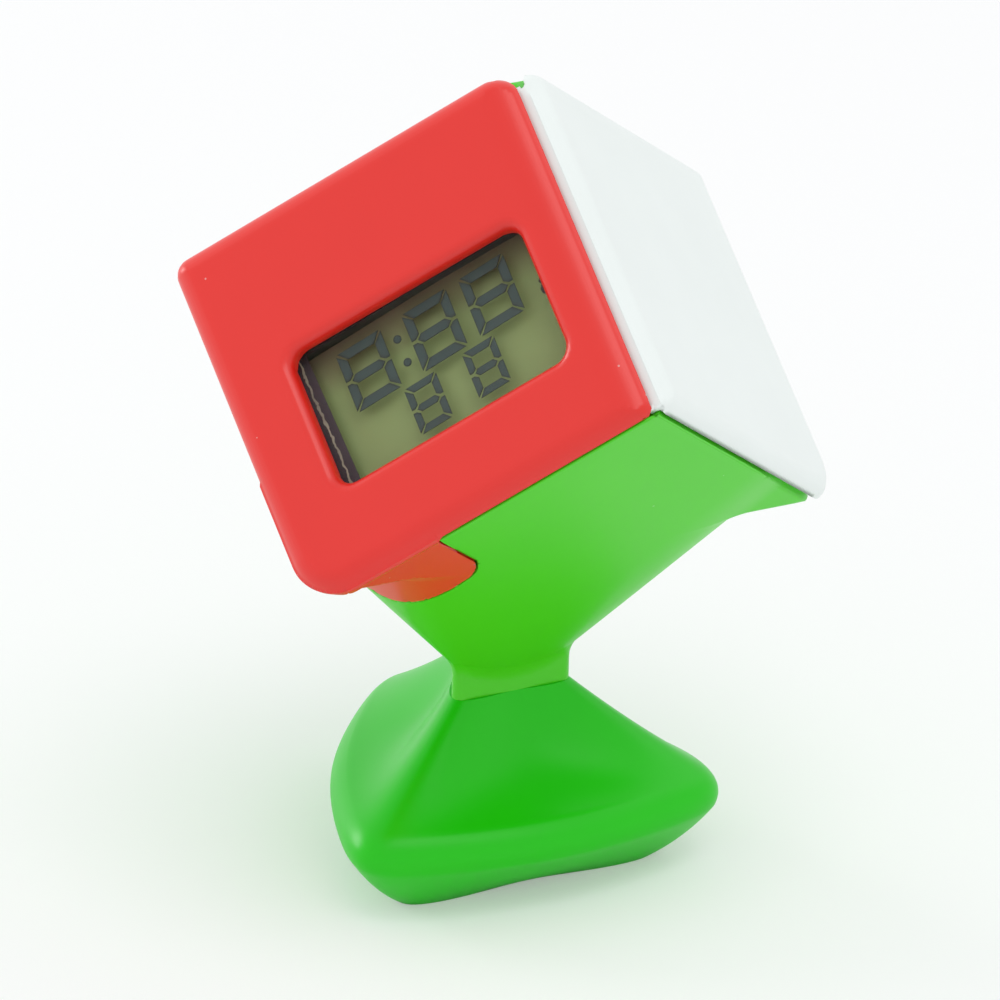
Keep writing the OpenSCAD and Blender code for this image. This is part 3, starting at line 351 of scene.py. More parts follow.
# %% Body shell
well, door, door_seat, screw_l, screw_in = (12.0, 14.4), (15.0, 22.6), edge - 1.2, 4.6, 2.1
cell_height, cell_play, contact = 5.4, 0.1, 0.4
well_r, well_floor = 6.0, door_seat - cell_play - cell_height - contact
tab_half, side_tab, low_tab = 1.9, (5.8, 6.4), (5.1, 5.6)
bay_wall, bay_fillet, boss_r, pilot_r, hole_break = 1.2, 0.3, 1.9, 0.85, 0.15
neck_sunk, neck_fillet, spigot_step, spigot_l, spigot_top = 0.5, 0.6, 0.9, 4, 5
door_screws = [(well[0], well[1] + s * (door[1] / 2 - screw_in)) for s in (-1, 1)]
cad_seam, board_boss_l, board_thick, switch_mid = 0.1, 4.8, 1.2, 3.2
plunger_x = edge + cad_seam - board_boss_l - board_thick - switch_mid
guides = [(6.6, 6.6), (6.6, 27.0), (27.0, 6.6), (27.0, 27.0)]
press_spot, reset_spot = (plunger_x, 14.6), (plunger_x, 17.2)
reset_hole_r, press_hole_r, guide_hole_r, foot_screw_r, foot_screw_end = 3.08, 2.15, 1.28, 1.1, 8.6


def door_plan(p, grow):
    lo = [well[0] - door[0] / 2 - grow, well[1] - door[1] / 2 - grow]
    hi = [well[0] + door[0] / 2 + grow, well[1] + door[1] / 2 + grow]
    return soft_rect(p[:, 0], p[:, 1], lo, hi, [2 + grow] * 4)


def body_shell(p):
    q = upright(p)
    c, z = p[:, 2], q[:, 2]
    opening = box(p, [inner - 1, rim_w, rim_w], [edge + 2, edge - rim_w, edge - rim_w])
    shell = cut(body_form(p), -body_hollow(p, q), -opening, -tongue_block(p, running_gap))
    neck = cut(three_sided(q, neck_round, neck_flat), neck_bottom - neck_sunk - z, z - neck_top)
    spigot = cut(three_sided(q, neck_round - spigot_step, neck_flat - spigot_step),
                 neck_bottom - spigot_l - z, z - spigot_top)
    shell = join(join_round(neck_fillet, shell, neck), spigot)
    bay = join(rod(p, 2, well, well_r + bay_wall, well_floor - bay_wall, inner + 0.2),
               cut(door_plan(p, bay_wall), door_seat - bay_wall - c, c - inner - 0.2),
               *[rod(p, 2, spot, boss_r, door_seat - screw_l, inner) for spot in door_screws])
    shell = join_round(bay_fillet, shell, bay)
    cuts = [cut(door_plan(p, running_gap), door_seat - c), rod(p, 2, well, well_r, well_floor, edge + 1),
            rod(p, 2, reset_spot, reset_hole_r, inner - 1, edge + 1),
            rod(p, 1, press_spot, press_hole_r, inner - 1, edge + 1),
            box(p, [well[0] + side_tab[0], well[1] - tab_half, well_floor - 2],
                [well[0] + side_tab[1], well[1] + tab_half, door_seat]),
            box(p, [well[0] - tab_half, well[1] + low_tab[0], well_floor - 2],
                [well[0] + tab_half, well[1] + low_tab[1], well_floor + 1]),
            cut(np.hypot(q[:, 0], q[:, 1]) - foot_screw_r, z - foot_screw_end)]
    cuts += [rod(p, 2, spot, pilot_r, door_seat - screw_l + 1.1, edge) for spot in door_screws]
    cuts += [rod(p, 1, spot, guide_hole_r, inner - 1, edge + 1) for spot in guides]
    return cut_round(hole_break, shell, -join(*cuts))


net_step = 0.46
net_low, net_high, net_proud = -1.03, 35.6, 36.9
body_piece = moulding("green_body", body_shell, [-5.43] * 3, [net_high] * 3, net_step)

# %% [markdown]
# ## Red display cap
# The cap's face stands 1.6 mm proud, with edges rounded by 2 mm and corners of their own radii. The
# edge toward the plate is a wider, flatter round. The window has a soft lip. Below, the cap runs on
# into a tongue that takes the place of the body's wall round the lowest corner, so the tongue is cut
# from the body's own form.

# %% Display cap
window_spot, window_half = np.array([18.3, 14.75]), np.array([11.45, 6.5])
window_lip, tongue_fillet, bridge_round, bridge_in, back_break, far = 1.05, 0.35, 0.5, 0.1, 0.06, 40
cap_back, side_round, side_flat = edge + 0.05, 1.5, 0.45
board_bosses = ((8.4, 26.95), (28.2, 26.95))
hooks = ((1, 26.95, -1), (1, 26.95, 1), (2, edge / 2, 1), (2, 18.3, -1))
hook_half, hook_thick, hook_gap, hook_l, barb_out, barb_in, barb_half = 2.5, 1.2, 0.1, 1.3, 0.5, 0.7, 0.6


def raised_face(u, v, w, q, radii, low):
    """A face that stands proud of the cube, over the directions u and v, from the height low of w."""
    plan = soft_rect(u, v, (0, 0), (edge, edge), radii)
    face = cut_round(face_round, plan, w - proud)
    face = cut_round(skirt_round, face, skirt_height - q[:, 2])
    return cut_round(back_break, face, low - w)


def hook(p, across, spot, side):
    """Snap hook behind the opening's rim. Its barb turns outward, to the given side of one axis."""
    along = 3 - across
    out = (p[:, across] - (rim_w if side < 0 else edge - rim_w)) * side
    width = np.abs(p[:, along] - spot) - hook_half
    leg = cut(-hook_thick - out, out + hook_gap, inner - hook_l - p[:, 0], p[:, 0] - cap_back - 0.2)
    barb = cut(-hook_thick - out, out - barb_out, np.abs(p[:, 0] - inner + barb_in) - barb_half)
    return cut(width, join(leg, barb))


def display_cap(p):
    q = upright(p)
    a, b, c = p.T
    face = raised_face(b, c, a, q, [tip_round, 1.4, 2.8, 1.6], cap_back)
    face = cut(face, cut_round(side_round, (b - edge) * side_flat, a - proud))
    room = box(p, [inner, wall, wall], [far] * 3)
    tongue = cut(body_form(p), tongue_block(p, 0), -body_hollow(p, q), -room)
    bridge = cut(box(p, [edge - 0.5, 0.1, 0.1], [edge + 0.5, tongue_reach, tongue_reach]), -room)
    bridge = cut_round(bridge_round, cut(bridge, tips(p, bridge_in)), skirt_height - q[:, 2])
    cap = join(join_round(tongue_fillet, face, join(tongue, bridge)),
               *[rod(p, 0, spot, boss_r, cap_back - board_boss_l, cap_back + 0.5) for spot in board_bosses],
               *[hook(p, across, spot, side) for across, spot, side in hooks])
    window = soft_rect(b, c, window_spot - window_half, window_spot + window_half, [1.5] * 4)
    return cut(cap, cut_round(window_lip, a - proud, -window))


cap_piece = moulding("red_cap", display_cap, [19.07, net_low, net_low], [net_proud, net_high, net_high],
                     net_step * 0.9)

# %% [markdown]
# ## White start plate
# The plate is a raised face like the cap's, without a window, over a seam that is a little wider than
# its travel. A lip under it fills the cube's edge toward the cap. Four guide posts and one pressing
# post go through the body's wall.

# %% Start plate
plate_gap, lip_in, lip_flush, post_end, post_r = 0.27, 0.65, 0.05, 30.4, 1.8
lip_low, lip_top, lip_up, lip_round, lip_fillet, crown_over = 0.6, 1.3, 0.6, 0.3, 0.15, 0.35
guide_r, guide_head_r, guide_end = 1.2, 1.6, inner - 0.65


def start_plate(p):
    q = upright(p)
    a, b, c = p.T
    plate = raised_face(c, a, b, q, [tip_round, 1.6, 2.8, 1.4], edge + plate_gap)
    flush = (lip_flush, lip_flush), (edge - lip_flush, edge - lip_flush)
    under = cut(soft_rect(c, a, *flush, [tip_round, 1.6, 1.2, 1.4]), b - edge - lip_up)
    lip = cut(lip_low - c, c - edge + lip_top, edge - lip_in - np.minimum(a, b),
              join(under, np.maximum(a, b) - edge + lip_flush))
    lip = cut_round(lip_round, lip, skirt_height - q[:, 2], crown(q) - crown_over)
    return join(join_round(lip_fillet, plate, lip),
                *[rod(p, 1, spot, guide_r, guide_end, edge + 0.5) for spot in guides],
                *[rod(p, 1, spot, guide_head_r, guide_end, inner - 0.05) for spot in guides],
                rod(p, 1, press_spot, post_r, post_end, edge + 0.5))


plate_piece = moulding("white_plate", start_plate, [net_low, 29.6, net_low], [net_high, net_proud, net_high],
                       net_step * 0.9)

# %% [markdown]
# ## Rules as Geometry Nodes
# Two pieces follow a rule, so they are made by node trees: the foot, and the display's digits. A tree
# of sums is hard to read node by node. The small class below lets the script write such sums as
# plain formulas, and each formula adds its Math nodes to the tree. The materials use it too.

# %% Formulas as nodes
def plug(tree, value, place):
    """Links a socket or a sum to an input, or writes a plain value into it."""
    value = value.socket if isinstance(value, Sum) else value
    if isinstance(value, bpy.types.NodeSocket):
        tree.links.new(value, place)
    else:
        place.default_value = value


class Sum:
    """A value in a node tree that can be added to, multiplied and so on."""

    def __init__(self, tree, socket):
        self.tree, self.socket = tree, socket

    def made(self, operation, *others, clamp=False):
        maths = self.tree.nodes.new("ShaderNodeMath")
        maths.operation, maths.use_clamp = operation, clamp
        for place, value in zip(maths.inputs, (self, *others)):
            plug(self.tree, value, place)
        return Sum(self.tree, maths.outputs[0])

    def __add__(self, other):
        return self.made("ADD", other)

    def __sub__(self, other):
        return self.made("SUBTRACT", other)

    def __mul__(self, other):
        return self.made("MULTIPLY", other)

    def __truediv__(self, other):
        return self.made("DIVIDE", other)

    def root(self):
        return self.made("SQRT")

    def share(self, low, high):
        """0 at the low value, 1 at the high one."""
        return ((self - low) / (high - low)).made("ADD", 0.0, clamp=True)


def chained(tree, *nodes):
    """Links each node's first output to the next one's first input."""
    for before, after in zip(nodes, nodes[1:]):
        tree.links.new(before.outputs[0], after.inputs[0])


def geometry_tree(name, inputs):
    """Tree with a geometry in and out and named inputs. Gives the tree, its values and its ends."""
    tree = bpy.data.node_groups.new(name, "GeometryNodeTree")
    tree.interface.new_socket("Geometry", in_out="INPUT", socket_type="NodeSocketGeometry")
    for label, kind, value in inputs:
        socket = tree.interface.new_socket(label, in_out="INPUT", socket_type=kind)
        if value is not None:
            socket.default_value = value
    tree.interface.new_socket("Geometry", in_out="OUTPUT", socket_type="NodeSocketGeometry")
    start, end = tree.nodes.new("NodeGroupInput"), tree.nodes.new("NodeGroupOutput")
    return tree, {label: Sum(tree, start.outputs[label]) for label, _, _ in inputs}, start, end


def baked(name, tree, seed_mesh, values):
    """Runs a tree on a mesh and keeps the result as a plain mesh."""
    carrier = bpy.data.objects.new(name + "_tree", seed_mesh)
    bpy.context.collection.objects.link(carrier)
    nodes = carrier.modifiers.new("rule", "NODES")
    nodes.node_group = tree
    ids = {item.name: item.identifier for item in tree.interface.items_tree if item.in_out == "INPUT"}
    for label, value in values.items():
        nodes[ids[label]] = value
    made = bpy.data.meshes.new_from_object(carrier.evaluated_get(bpy.context.evaluated_depsgraph_get()))
    made.name = name
    carrier.modifiers.remove(nodes)
    bpy.data.objects.remove(carrier)
    piece = bpy.data.objects.new(name, made)
    bpy.context.collection.objects.link(piece)
    print(name, len(made.vertices), "vertices", [round(d * 1000, 2) for d in piece.dimensions], "mm")
    return piece


# %% [markdown]
# ## Foot
# The foot is a rounded three-sided cone with hollow flanks. At each turn round the axis its outline
# lies between a profile at mid side and one at a corner. Each profile is three curves: the flank, the
# rolled rim and the bevel underneath. A grid is wrapped round the axis, and its second direction runs
# down the profile. Under the foot the grid turns in and up into the pocket that the plug closes.

# %% Foot profile group
profile_rows = (26, 18, 14)
foot_turns = 240
neck_z, rim_z, plug_face = corner_height + neck_bottom, 6.4, 0.46
fold_z, under_z, fold_in, under_in = rim_z + 1.9, rim_z - 1.3, 1.6, 0.315
bulge_out, bulge_up, bevel_bulge, pocket_ledge = 0.45, 0.5, 0.5, 1.6


def curve(start, middle, stop, share):
    """How far a curve with one control point has gone from its start."""
    rest = share * -1 + 1
    return (rest * rest * start + share * rest * 2 * middle + share * share * stop) - start


def foot_profile(t, neck, rim, base, hollow):
    """Radius and height of one profile, from the three curves' shares t."""
    fold, under = rim - fold_in, rim - under_in
    fall, out = neck_z - fold_z, fold - neck
    bow = hollow * 2 / (out * out + fall * fall).root()
    radius = (neck + curve(neck, (neck + fold) / 2 - bow * fall, fold, t[0])
              + curve(fold, rim + bulge_out, under, t[1])
              + curve(under, (under + base) / 2 + bevel_bulge, base, t[2]))
    height = (curve(t[0] * 0 + neck_z, bow * out * -1 + (neck_z + fold_z) / 2, fold_z, t[0]) + neck_z
              + curve(t[1] * 0 + fold_z, t[1] * 0 + rim_z + bulge_up, under_z, t[1])
              + curve(t[2] * 0 + under_z, t[2] * 0 + under_z / 2 - bevel_bulge, 0.0, t[2]))
    return radius, height


# %% Foot tree
sizes = [(label, "NodeSocketFloat", value) for label, value in (
    ("Neck at corner", neck_round), ("Neck at side", neck_flat), ("Rim at corner", 19.4),
    ("Rim at side", 14.0), ("Base at corner", 13.7), ("Base at side", 7.3), ("Hollow at corner", 0.2),
    ("Hollow at side", 1.5), ("Corner softness at neck", 12.7), ("Corner softness at rim", 9.0),
    ("Corner softness at base", 8.5))]
foot_tree, size_of, _, end = geometry_tree(
    "three-sided foot", sizes + [("Material", "NodeSocketMaterial", None)])
rows = sum(profile_rows)
new, link = foot_tree.nodes.new, foot_tree.links.new
grid = new("GeometryNodeMeshGrid")
for label, value in (("Size X", 1.0), ("Size Y", 1.0), ("Vertices X", foot_turns + 1),
                     ("Vertices Y", rows + 5)):
    grid.inputs[label].default_value = value
place = new("ShaderNodeSeparateXYZ")
link(new("GeometryNodeInputPosition").outputs[0], place.inputs[0])
turn = (Sum(foot_tree, place.outputs["X"]) + 0.5) * 360
row = (Sum(foot_tree, place.outputs["Y"]) + 0.5) * (rows + 4) - 1
stops = np.cumsum((0,) + profile_rows).tolist()
shares = [row.share(stops[i], stops[i + 1]) for i in range(3)]
soft_neck, soft_rim, soft_base = (size_of["Corner softness at " + part] for part in ("neck", "rim", "base"))
soft = soft_neck + (soft_rim - soft_neck) * shares[0] + (soft_base - soft_rim) * shares[2]
fold = (turn.made("MODULO", 120.0) - 60).made("ABSOLUTE")


def rise(at):
    """How far the outline leans out at an angle from the corner, before it is set to run from 0 to 1."""
    bend = ((at * at + soft * soft).root() / (soft * soft + 3600).root() * -1 + 1) * math.radians(60)
    return bend.made("COSINE").made("POWER", -1.0) - 1


corner_part = rise(fold) / rise(fold * 0)
(side_r, side_z), (corner_r, corner_z) = (
    foot_profile(shares, *(size_of[f"{part} at {where}"] for part in ("Neck", "Rim", "Base", "Hollow")))
    for where in ("side", "corner"))
radius = side_r + (corner_r - side_r) * corner_part
height = side_z + (corner_z - side_z) * corner_part
pocket_in, pocket_up = row.share(rows, rows + 1), row.share(rows + 1, rows + 2)
radius = (radius - pocket_in * pocket_ledge) * row.share(-1, 0) * row.share(rows + 3, rows + 2)
height = height + pocket_up * plug_face
angle = (turn - 30) * math.radians(1)
shape = new("ShaderNodeCombineXYZ")
for axis, value in enumerate((radius * angle.made("COSINE"), radius * angle.made("SINE"), height)):
    link((value * MM).socket, shape.inputs[axis])

# %% Close and finish the foot
wrapped, merged, turned, smooth, crisp, real, painted = (
    new("GeometryNode" + kind) for kind in ("SetPosition", "MergeByDistance", "FlipFaces", "SetShadeSmooth",
                                            "SetShadeSmooth", "RealizeInstances", "SetMaterial"))
bend_here, creased = new("GeometryNodeInputMeshEdgeAngle"), new("FunctionNodeCompare")
creased.inputs["B"].default_value = math.radians(35)
merged.inputs["Distance"].default_value = 1e-6
crisp.domain = "EDGE"
crisp.inputs["Shade Smooth"].default_value = False
link(shape.outputs[0], wrapped.inputs["Position"])
link(bend_here.outputs["Unsigned Angle"], creased.inputs["A"])
link(creased.outputs["Result"], crisp.inputs["Selection"])
link(size_of["Material"].socket, painted.inputs["Material"])
chained(foot_tree, grid, wrapped, merged, turned, smooth, crisp, real, painted, end)
print("foot tree:", len(foot_tree.nodes), "nodes")

# %% [markdown]
# ## Surfaces
# The plastic is a smooth satin-gloss moulding. Close up it has a faint grain from the mould, tiny
# specks of dust and a gloss that isn't quite even. One node group makes these for every plastic, so
# each material only sets how much of each it has.

# %% Node helpers
def srgb(r, g, b):
    """Colour as a screen shows it, 0 to 255, to the linear one that shaders take."""
    lin = [c / 255 / 12.92 if c <= 10.31 else ((c / 255 + 0.055) / 1.055) ** 2.4 for c in (r, g, b)]
    return (*lin, 1.0)


def node(tree, kind, **settings):
    """Adds a node. A setting named after an input fills it, any other is a property."""
    made = tree.nodes.new(kind)
    for key, value in settings.items():
        if hasattr(made, key):
            setattr(made, key, value)
        else:
            made.inputs[key.replace("_", " ")].default_value = value
    return made


def mix_node(tree, factor, a, b):
    made = tree.nodes.new("ShaderNodeMix")
    made.data_type = "RGBA"
    for place, value in zip((made.inputs[0], made.inputs[6], made.inputs[7]), (factor, a, b)):
        plug(tree, value, place)
    return made.outputs[2]


def noises(tree, vector, *settings):
    """Noise textures as values, one for each pair of scale and detail."""
    textures = [node(tree, "ShaderNodeTexNoise", Scale=scale, Detail=detail) for scale, detail in settings]
    for texture in textures:
        tree.links.new(vector, texture.inputs["Vector"])
    return [Sum(tree, texture.outputs["Fac"]) for texture in textures]


# %% Moulded skin group
speck_size, speck_rarity, speck_rough, wave_share = 0.07, 0.96, 0.3, 0.6
skin = bpy.data.node_groups.new("moulded skin", "ShaderNodeTree")
finish_inputs = ("Gloss", "Gloss Spread", "Grain", "Dust")
skin.interface.new_socket("Vector", in_out="INPUT", socket_type="NodeSocketVector")
for side, labels in (("INPUT", finish_inputs), ("OUTPUT", ("Roughness", "Height", "Patch", "Dust Mask"))):
    for label in labels:
        skin.interface.new_socket(label, in_out=side, socket_type="NodeSocketFloat")
skin_in, skin_out = skin.nodes.new("NodeGroupInput"), skin.nodes.new("NodeGroupOutput")
vec = skin_in.outputs["Vector"]
base_gloss, gloss_spread, grain_share, dust_share = (Sum(skin, skin_in.outputs[k]) for k in finish_inputs)
patch, grain, wave = noises(skin, vec, (90.0, 3.0), (1000.0, 0.0), (45.0, 0.0))
dust = node(skin, "ShaderNodeTexVoronoi", Scale=700.0)
skin.links.new(vec, dust.inputs["Vector"])
chance = node(skin, "ShaderNodeSeparateColor")
skin.links.new(dust.outputs["Color"], chance.inputs[0])
near = Sum(skin, dust.outputs["Distance"]).made("LESS_THAN", speck_size)
speck = near * Sum(skin, chance.outputs[0]).made("GREATER_THAN", speck_rarity) * dust_share
rough = base_gloss + (patch - 0.5) * gloss_spread + speck * speck_rough
relief = grain * grain_share + wave * wave_share
for label, value in (("Roughness", rough), ("Height", relief), ("Patch", patch), ("Dust Mask", speck)):
    plug(skin, value, skin_out.inputs[label])


# %% Plastic maker
def new_material(name, **constants):
    made = bpy.data.materials.new(name)
    made.use_nodes = True
    bsdf = made.node_tree.nodes["Principled BSDF"]
    for label, value in constants.items():
        bsdf.inputs[label.replace("_", " ")].default_value = value
    return made, made.node_tree, bsdf


def object_spot(tree):
    return tree.nodes.new("ShaderNodeTexCoord").outputs["Object"]


def moulded(name, colour, shade, gloss, spread=0.08, grain=0.04, dust=0.0, specular=0.5):
    """Plastic whose colour drifts a little toward its shade, with the skin group's finish."""
    made, tree, bsdf = new_material(name, Specular_IOR_Level=specular)
    finish = node(tree, "ShaderNodeGroup", node_tree=skin)
    for label, value in zip(("Vector", *finish_inputs), (object_spot(tree), gloss, spread, grain, dust)):
        plug(tree, value, finish.inputs[label])
    drift = mix_node(tree, finish.outputs["Patch"], srgb(*colour), srgb(*shade))
    dusty = mix_node(tree, finish.outputs["Dust Mask"], drift, srgb(225, 222, 214))
    bumped = node(tree, "ShaderNodeBump", Strength=0.35, Distance=0.00002)
    tree.links.new(finish.outputs["Height"], bumped.inputs["Height"])
    for label, value in (("Base Color", dusty), ("Roughness", finish.outputs["Roughness"]),
                         ("Normal", bumped.outputs["Normal"])):
        plug(tree, value, bsdf.inputs[label])
    return made


red = moulded("red moulding", (232, 36, 26), (226, 32, 22), 0.33, 0.06, dust=0.4, specular=0.6)
white = moulded("white moulding", (240, 246, 243), (234, 240, 237), 0.34, 0.06, dust=0.15)
green = moulded("green moulding", (80, 212, 22), (72, 206, 16), 0.33, 0.06, dust=0.3, specular=0.42)
# Painted shade: the foot's green is a deeper, less glossy copy of the body's green, for the shade the foot
# sits in under the cube.
green_foot_shaded = moulded("green foot moulding", (30, 202, 2), (24, 196, 2), 0.33, 0.06, specular=0.34)
frame_white = moulded("white frame moulding", (238, 238, 232), (230, 230, 222), 0.45)
black = moulded("black moulding", (32, 32, 35), (26, 26, 29), 0.5, grain=0.4)
ivory = moulded("plunger moulding", (214, 212, 202), (205, 202, 190), 0.4)
resin = moulded("cured resin", (24, 22, 20), (34, 30, 26), 0.34)
rubber = moulded("layered silicone", (60, 60, 64), (48, 48, 52), 0.6)
wire_red = moulded("red insulation", (198, 32, 36), (186, 26, 30), 0.35)
wire_black = moulded("black insulation", (32, 32, 36), (26, 26, 30), 0.35)
ceramic = moulded("fired ceramic", (186, 154, 104), (170, 138, 92), 0.5)
board = moulded("solder mask", (34, 104, 52), (28, 92, 44), 0.35, grain=0.3)
print("plastics made")


# %% [markdown]
# ## Metals
# Screws, contacts and the cell's can are plated sheet and wire. Real plating is brushed or rolled,
# so its gloss changes in fine streaks, which a noise that is stretched along one axis gives.

# %% Metal maker
def plated(name, colour, shade, gloss=0.3):
    """Metal whose colour and gloss change in streaks along one axis."""
    made, tree, bsdf = new_material(name, Metallic=1.0)
    placing = node(tree, "ShaderNodeMapping", Scale=(40, 40, 1))
    tree.links.new(object_spot(tree), placing.inputs["Vector"])
    streaks, = noises(tree, placing.outputs["Vector"], (60.0, 6.0))
    plug(tree, mix_node(tree, streaks, srgb(*colour), srgb(*shade)), bsdf.inputs["Base Color"])
    plug(tree, streaks * 0.2 + (gloss - 0.1), bsdf.inputs["Roughness"])
    return made


steel = plated("zinc-plated steel", (186, 190, 196), (160, 164, 172))
nickel = plated("nickel can", (204, 206, 208), (184, 187, 190), gloss=0.22)
brass = plated("plated spring brass", (206, 186, 110), (182, 158, 84))
print("metals made")

# %% [markdown]
# ## The display's layers
# A film, a glass, the liquid crystal, a second glass and an olive reflector lie behind the window.
# The clear layers hardly have a colour of their own and let most light straight through, so that the
# reflector's olive and the shadows of the segments on it show.

# %% Place on the glass
glass_turn, glass_thick, film_thick, cell_gap = math.radians(1.5), 1.0, 0.2, 0.06
glass_right = CUBE[1] * math.cos(glass_turn) + CUBE[2] * math.sin(glass_turn)
glass_up = CUBE[2] * math.cos(glass_turn) - CUBE[1] * math.sin(glass_turn)
film_back = edge - 0.2
front_glass = film_back - glass_thick
rear_glass = front_glass - cell_gap - glass_thick


def glass_spot(points):
    """Points right, up and out from the middle of the glass, in metres. Out is from the cube's corner."""
    x, y, depth = np.array(points, float).T[:, :, None]
    middle = np.array([0, *window_spot]) @ CUBE + [0, 0, corner_height]
    return (middle + x * glass_right + y * glass_up + depth * CUBE[0]) * MM


# %% Display materials
# Where the reflector's painted top shade starts and how far it fades in, in metres.
top_shade_from, top_shade_over = 0.003, 0.004
line_spot, line_wander, line_half = -11.33, 0.0006, 0.0001


def along(tree, vector, way, start):
    """How far a point lies along a way from a start on the glass, in metres."""
    dot = node(tree, "ShaderNodeVectorMath", operation="DOT_PRODUCT")
    tree.links.new(vector, dot.inputs[0])
    dot.inputs[1].default_value = tuple(way)
    return Sum(tree, dot.outputs["Value"]) - float(glass_spot([start])[0] @ way)


def clear_film():
    """The clear block's surface, with an olive tint and a slightly uneven gloss."""
    made, tree, bsdf = new_material("anti-glare film on glass", Base_Color=srgb(96, 104, 66), Alpha=0.06)
    smear, = noises(tree, object_spot(tree), (220.0, 4.0))
    plug(tree, smear * 0.06 + 0.3, bsdf.inputs["Roughness"])
    return made


def olive_foil():
    """Reflector: fine metallic grain under an olive film, with painted shade and a painted reflection of the
    red window wall turning its top brown.
    """
    made, tree, bsdf = new_material("olive reflector", Roughness=0.55, Metallic=0.15)
    spot = object_spot(tree)
    grain, cloud = noises(tree, spot, (4200.0, 2.0), (110.0, 2.0))
    # Painted shade and painted reflection: the top of the reflector fades to brown, standing in for the
    # window wall's shadow and the red wall's reflection.
    painted_top_shade = (along(tree, spot, glass_up, (0, 0, 0)) - top_shade_from).made("DIVIDE", top_shade_over, clamp=True)
    ground = mix_node(tree, cloud, srgb(160, 178, 116), srgb(150, 168, 108))
    ground = mix_node(tree, painted_top_shade, ground, srgb(126, 100, 84))
    plug(tree, mix_node(tree, grain * 0.2, ground, srgb(122, 134, 86)), bsdf.inputs["Base Color"])
    return made


def segment_with_painted_edge_shade():
    """Segment: darker along its edges than in its middle, a painted shade for where the segment lies over its
    own shadow on the reflector.
    """
    made, tree, bsdf = new_material("darkened crystal", Roughness=0.5)
    middle = node(tree, "ShaderNodeAttribute", attribute_name="middle")
    cloud, = noises(tree, object_spot(tree), (900.0, 2.0))
    centre = mix_node(tree, cloud, srgb(58, 76, 74), srgb(46, 60, 62))
    # Painted shade: the edges take a near-black green and the middle the lighter tone.
    plug(tree, mix_node(tree, middle.outputs["Fac"], srgb(32, 38, 35), centre), bsdf.inputs["Base Color"])
    return made


def seal_resin():
    """Printed seal with the pale, chipped line that the glass's edge leaves on it."""
    made, tree, bsdf = new_material("printed seal", Roughness=0.6)
    spot = object_spot(tree)
    chips, streak = noises(tree, spot, (1800.0, 4.0), (500.0, 2.0))
    from_line = along(tree, spot, glass_right, (line_spot, 0, 0)) + chips * line_wander
    line = (from_line - line_wander / 2).made("ABSOLUTE").made("LESS_THAN", line_half)
    line = line.made("MULTIPLY", streak * 1.3, clamp=True)
    dark = mix_node(tree, streak, srgb(78, 62, 74), srgb(50, 42, 52))
    plug(tree, mix_node(tree, line, dark, srgb(206, 196, 170)), bsdf.inputs["Base Color"])
    return made


film, olive, ink, seal = clear_film(), olive_foil(), segment_with_painted_edge_shade(), seal_resin()
print("display layers made")

# %% [markdown]
# ## The display's clear block, seal and digits
# The film and the two glasses are bonded, so light sees one clear block with the digits inside. Three
# thin boxes would each reflect and darken, which the real stack doesn't. The seal is printed between
# the glasses, and its wide left side shows in the window. The digits are figure eights. One large,
# one small and one dot are drawn, and a node tree puts a copy at each place.

# %% Prisms on the glass
def prisms(name, outlines, low, high, spot=True, inset=0.0):
    """Upright prisms on the glass, or about the origin to be copied to their spots. An inset adds an
    inner ring to the front, and the attribute is 1 there, which the material reads to paint shade along the
    edges."""
    verts, faces, middle = [], [], []
    for outline in outlines:
        outline = np.array(outline, float)
        ahead = np.roll(outline, -1, 0)
        if (outline[:, 0] * ahead[:, 1] - ahead[:, 0] * outline[:, 1]).sum() < 0:
            outline = outline[::-1]
        n, first = len(outline), len(verts)
        rings = [(outline, low, 0), (outline, high, 0)]
        if inset:
            centre = outline.mean(0)
            reach = np.linalg.norm(outline - centre, axis=1, keepdims=True)
            step_in = np.minimum(inset * 1.6, reach / 2)
            rings.append((outline + (centre - outline) / reach * step_in, high, 1))
        for ring, depth, share in rings:
            verts += [(x, y, depth) for x, y in ring]
            middle += [share] * n
        at = first + np.arange(len(rings) * n).reshape(-1, n)
        faces.append(at[0, ::-1].tolist())
        for lower, upper in zip(at, at[1:]):
            faces += np.stack([lower, np.roll(lower, -1), np.roll(upper, -1), upper], 1).tolist()
        faces.append(at[-1].tolist())
    origin = 0 if spot else glass_spot([[0, 0, 0]])
    piece = piece_from(name, glass_spot(verts) - origin, faces, smooth=False)
    shares = piece.data.attributes.new("middle", "FLOAT", "POINT")
    shares.data.foreach_set("value", [float(m) for m in middle])
    return piece


# %% Clear block and seal
half_w, half_h, rear_top, film_inset = 12.5, 8.2, 7.1, 0.3
film_top, film_low, film_face = rear_top - film_inset, -half_h + film_inset, film_back + film_thick
step_line = [(-half_h, rear_glass), (rear_top, rear_glass), (rear_top, front_glass), (half_h, front_glass),
             (half_h, film_back), (film_top, film_back), (film_top, film_face), (film_low, film_face),
             (film_low, film_back), (-half_h, film_back)]
n = len(step_line)
block_verts = [(x, y, depth) for x in (-half_w, half_w) for y, depth in step_line]
block_faces = [list(range(n)), list(range(2 * n - 1, n - 1, -1))]
block_faces += [[(i + 1) % n, i, n + i, n + (i + 1) % n] for i in range(n)]
block_piece = piece_from("display_glass", glass_spot(block_verts), block_faces, smooth=False)
cell = (rear_glass + glass_thick, front_glass)
fill_low, fill_high, strip = -0.3, 2.1, -10.5
outer, top, low, line_w, top_w = half_w - 0.2, 7.75, -half_h + 0.2, 0.7, 0.6
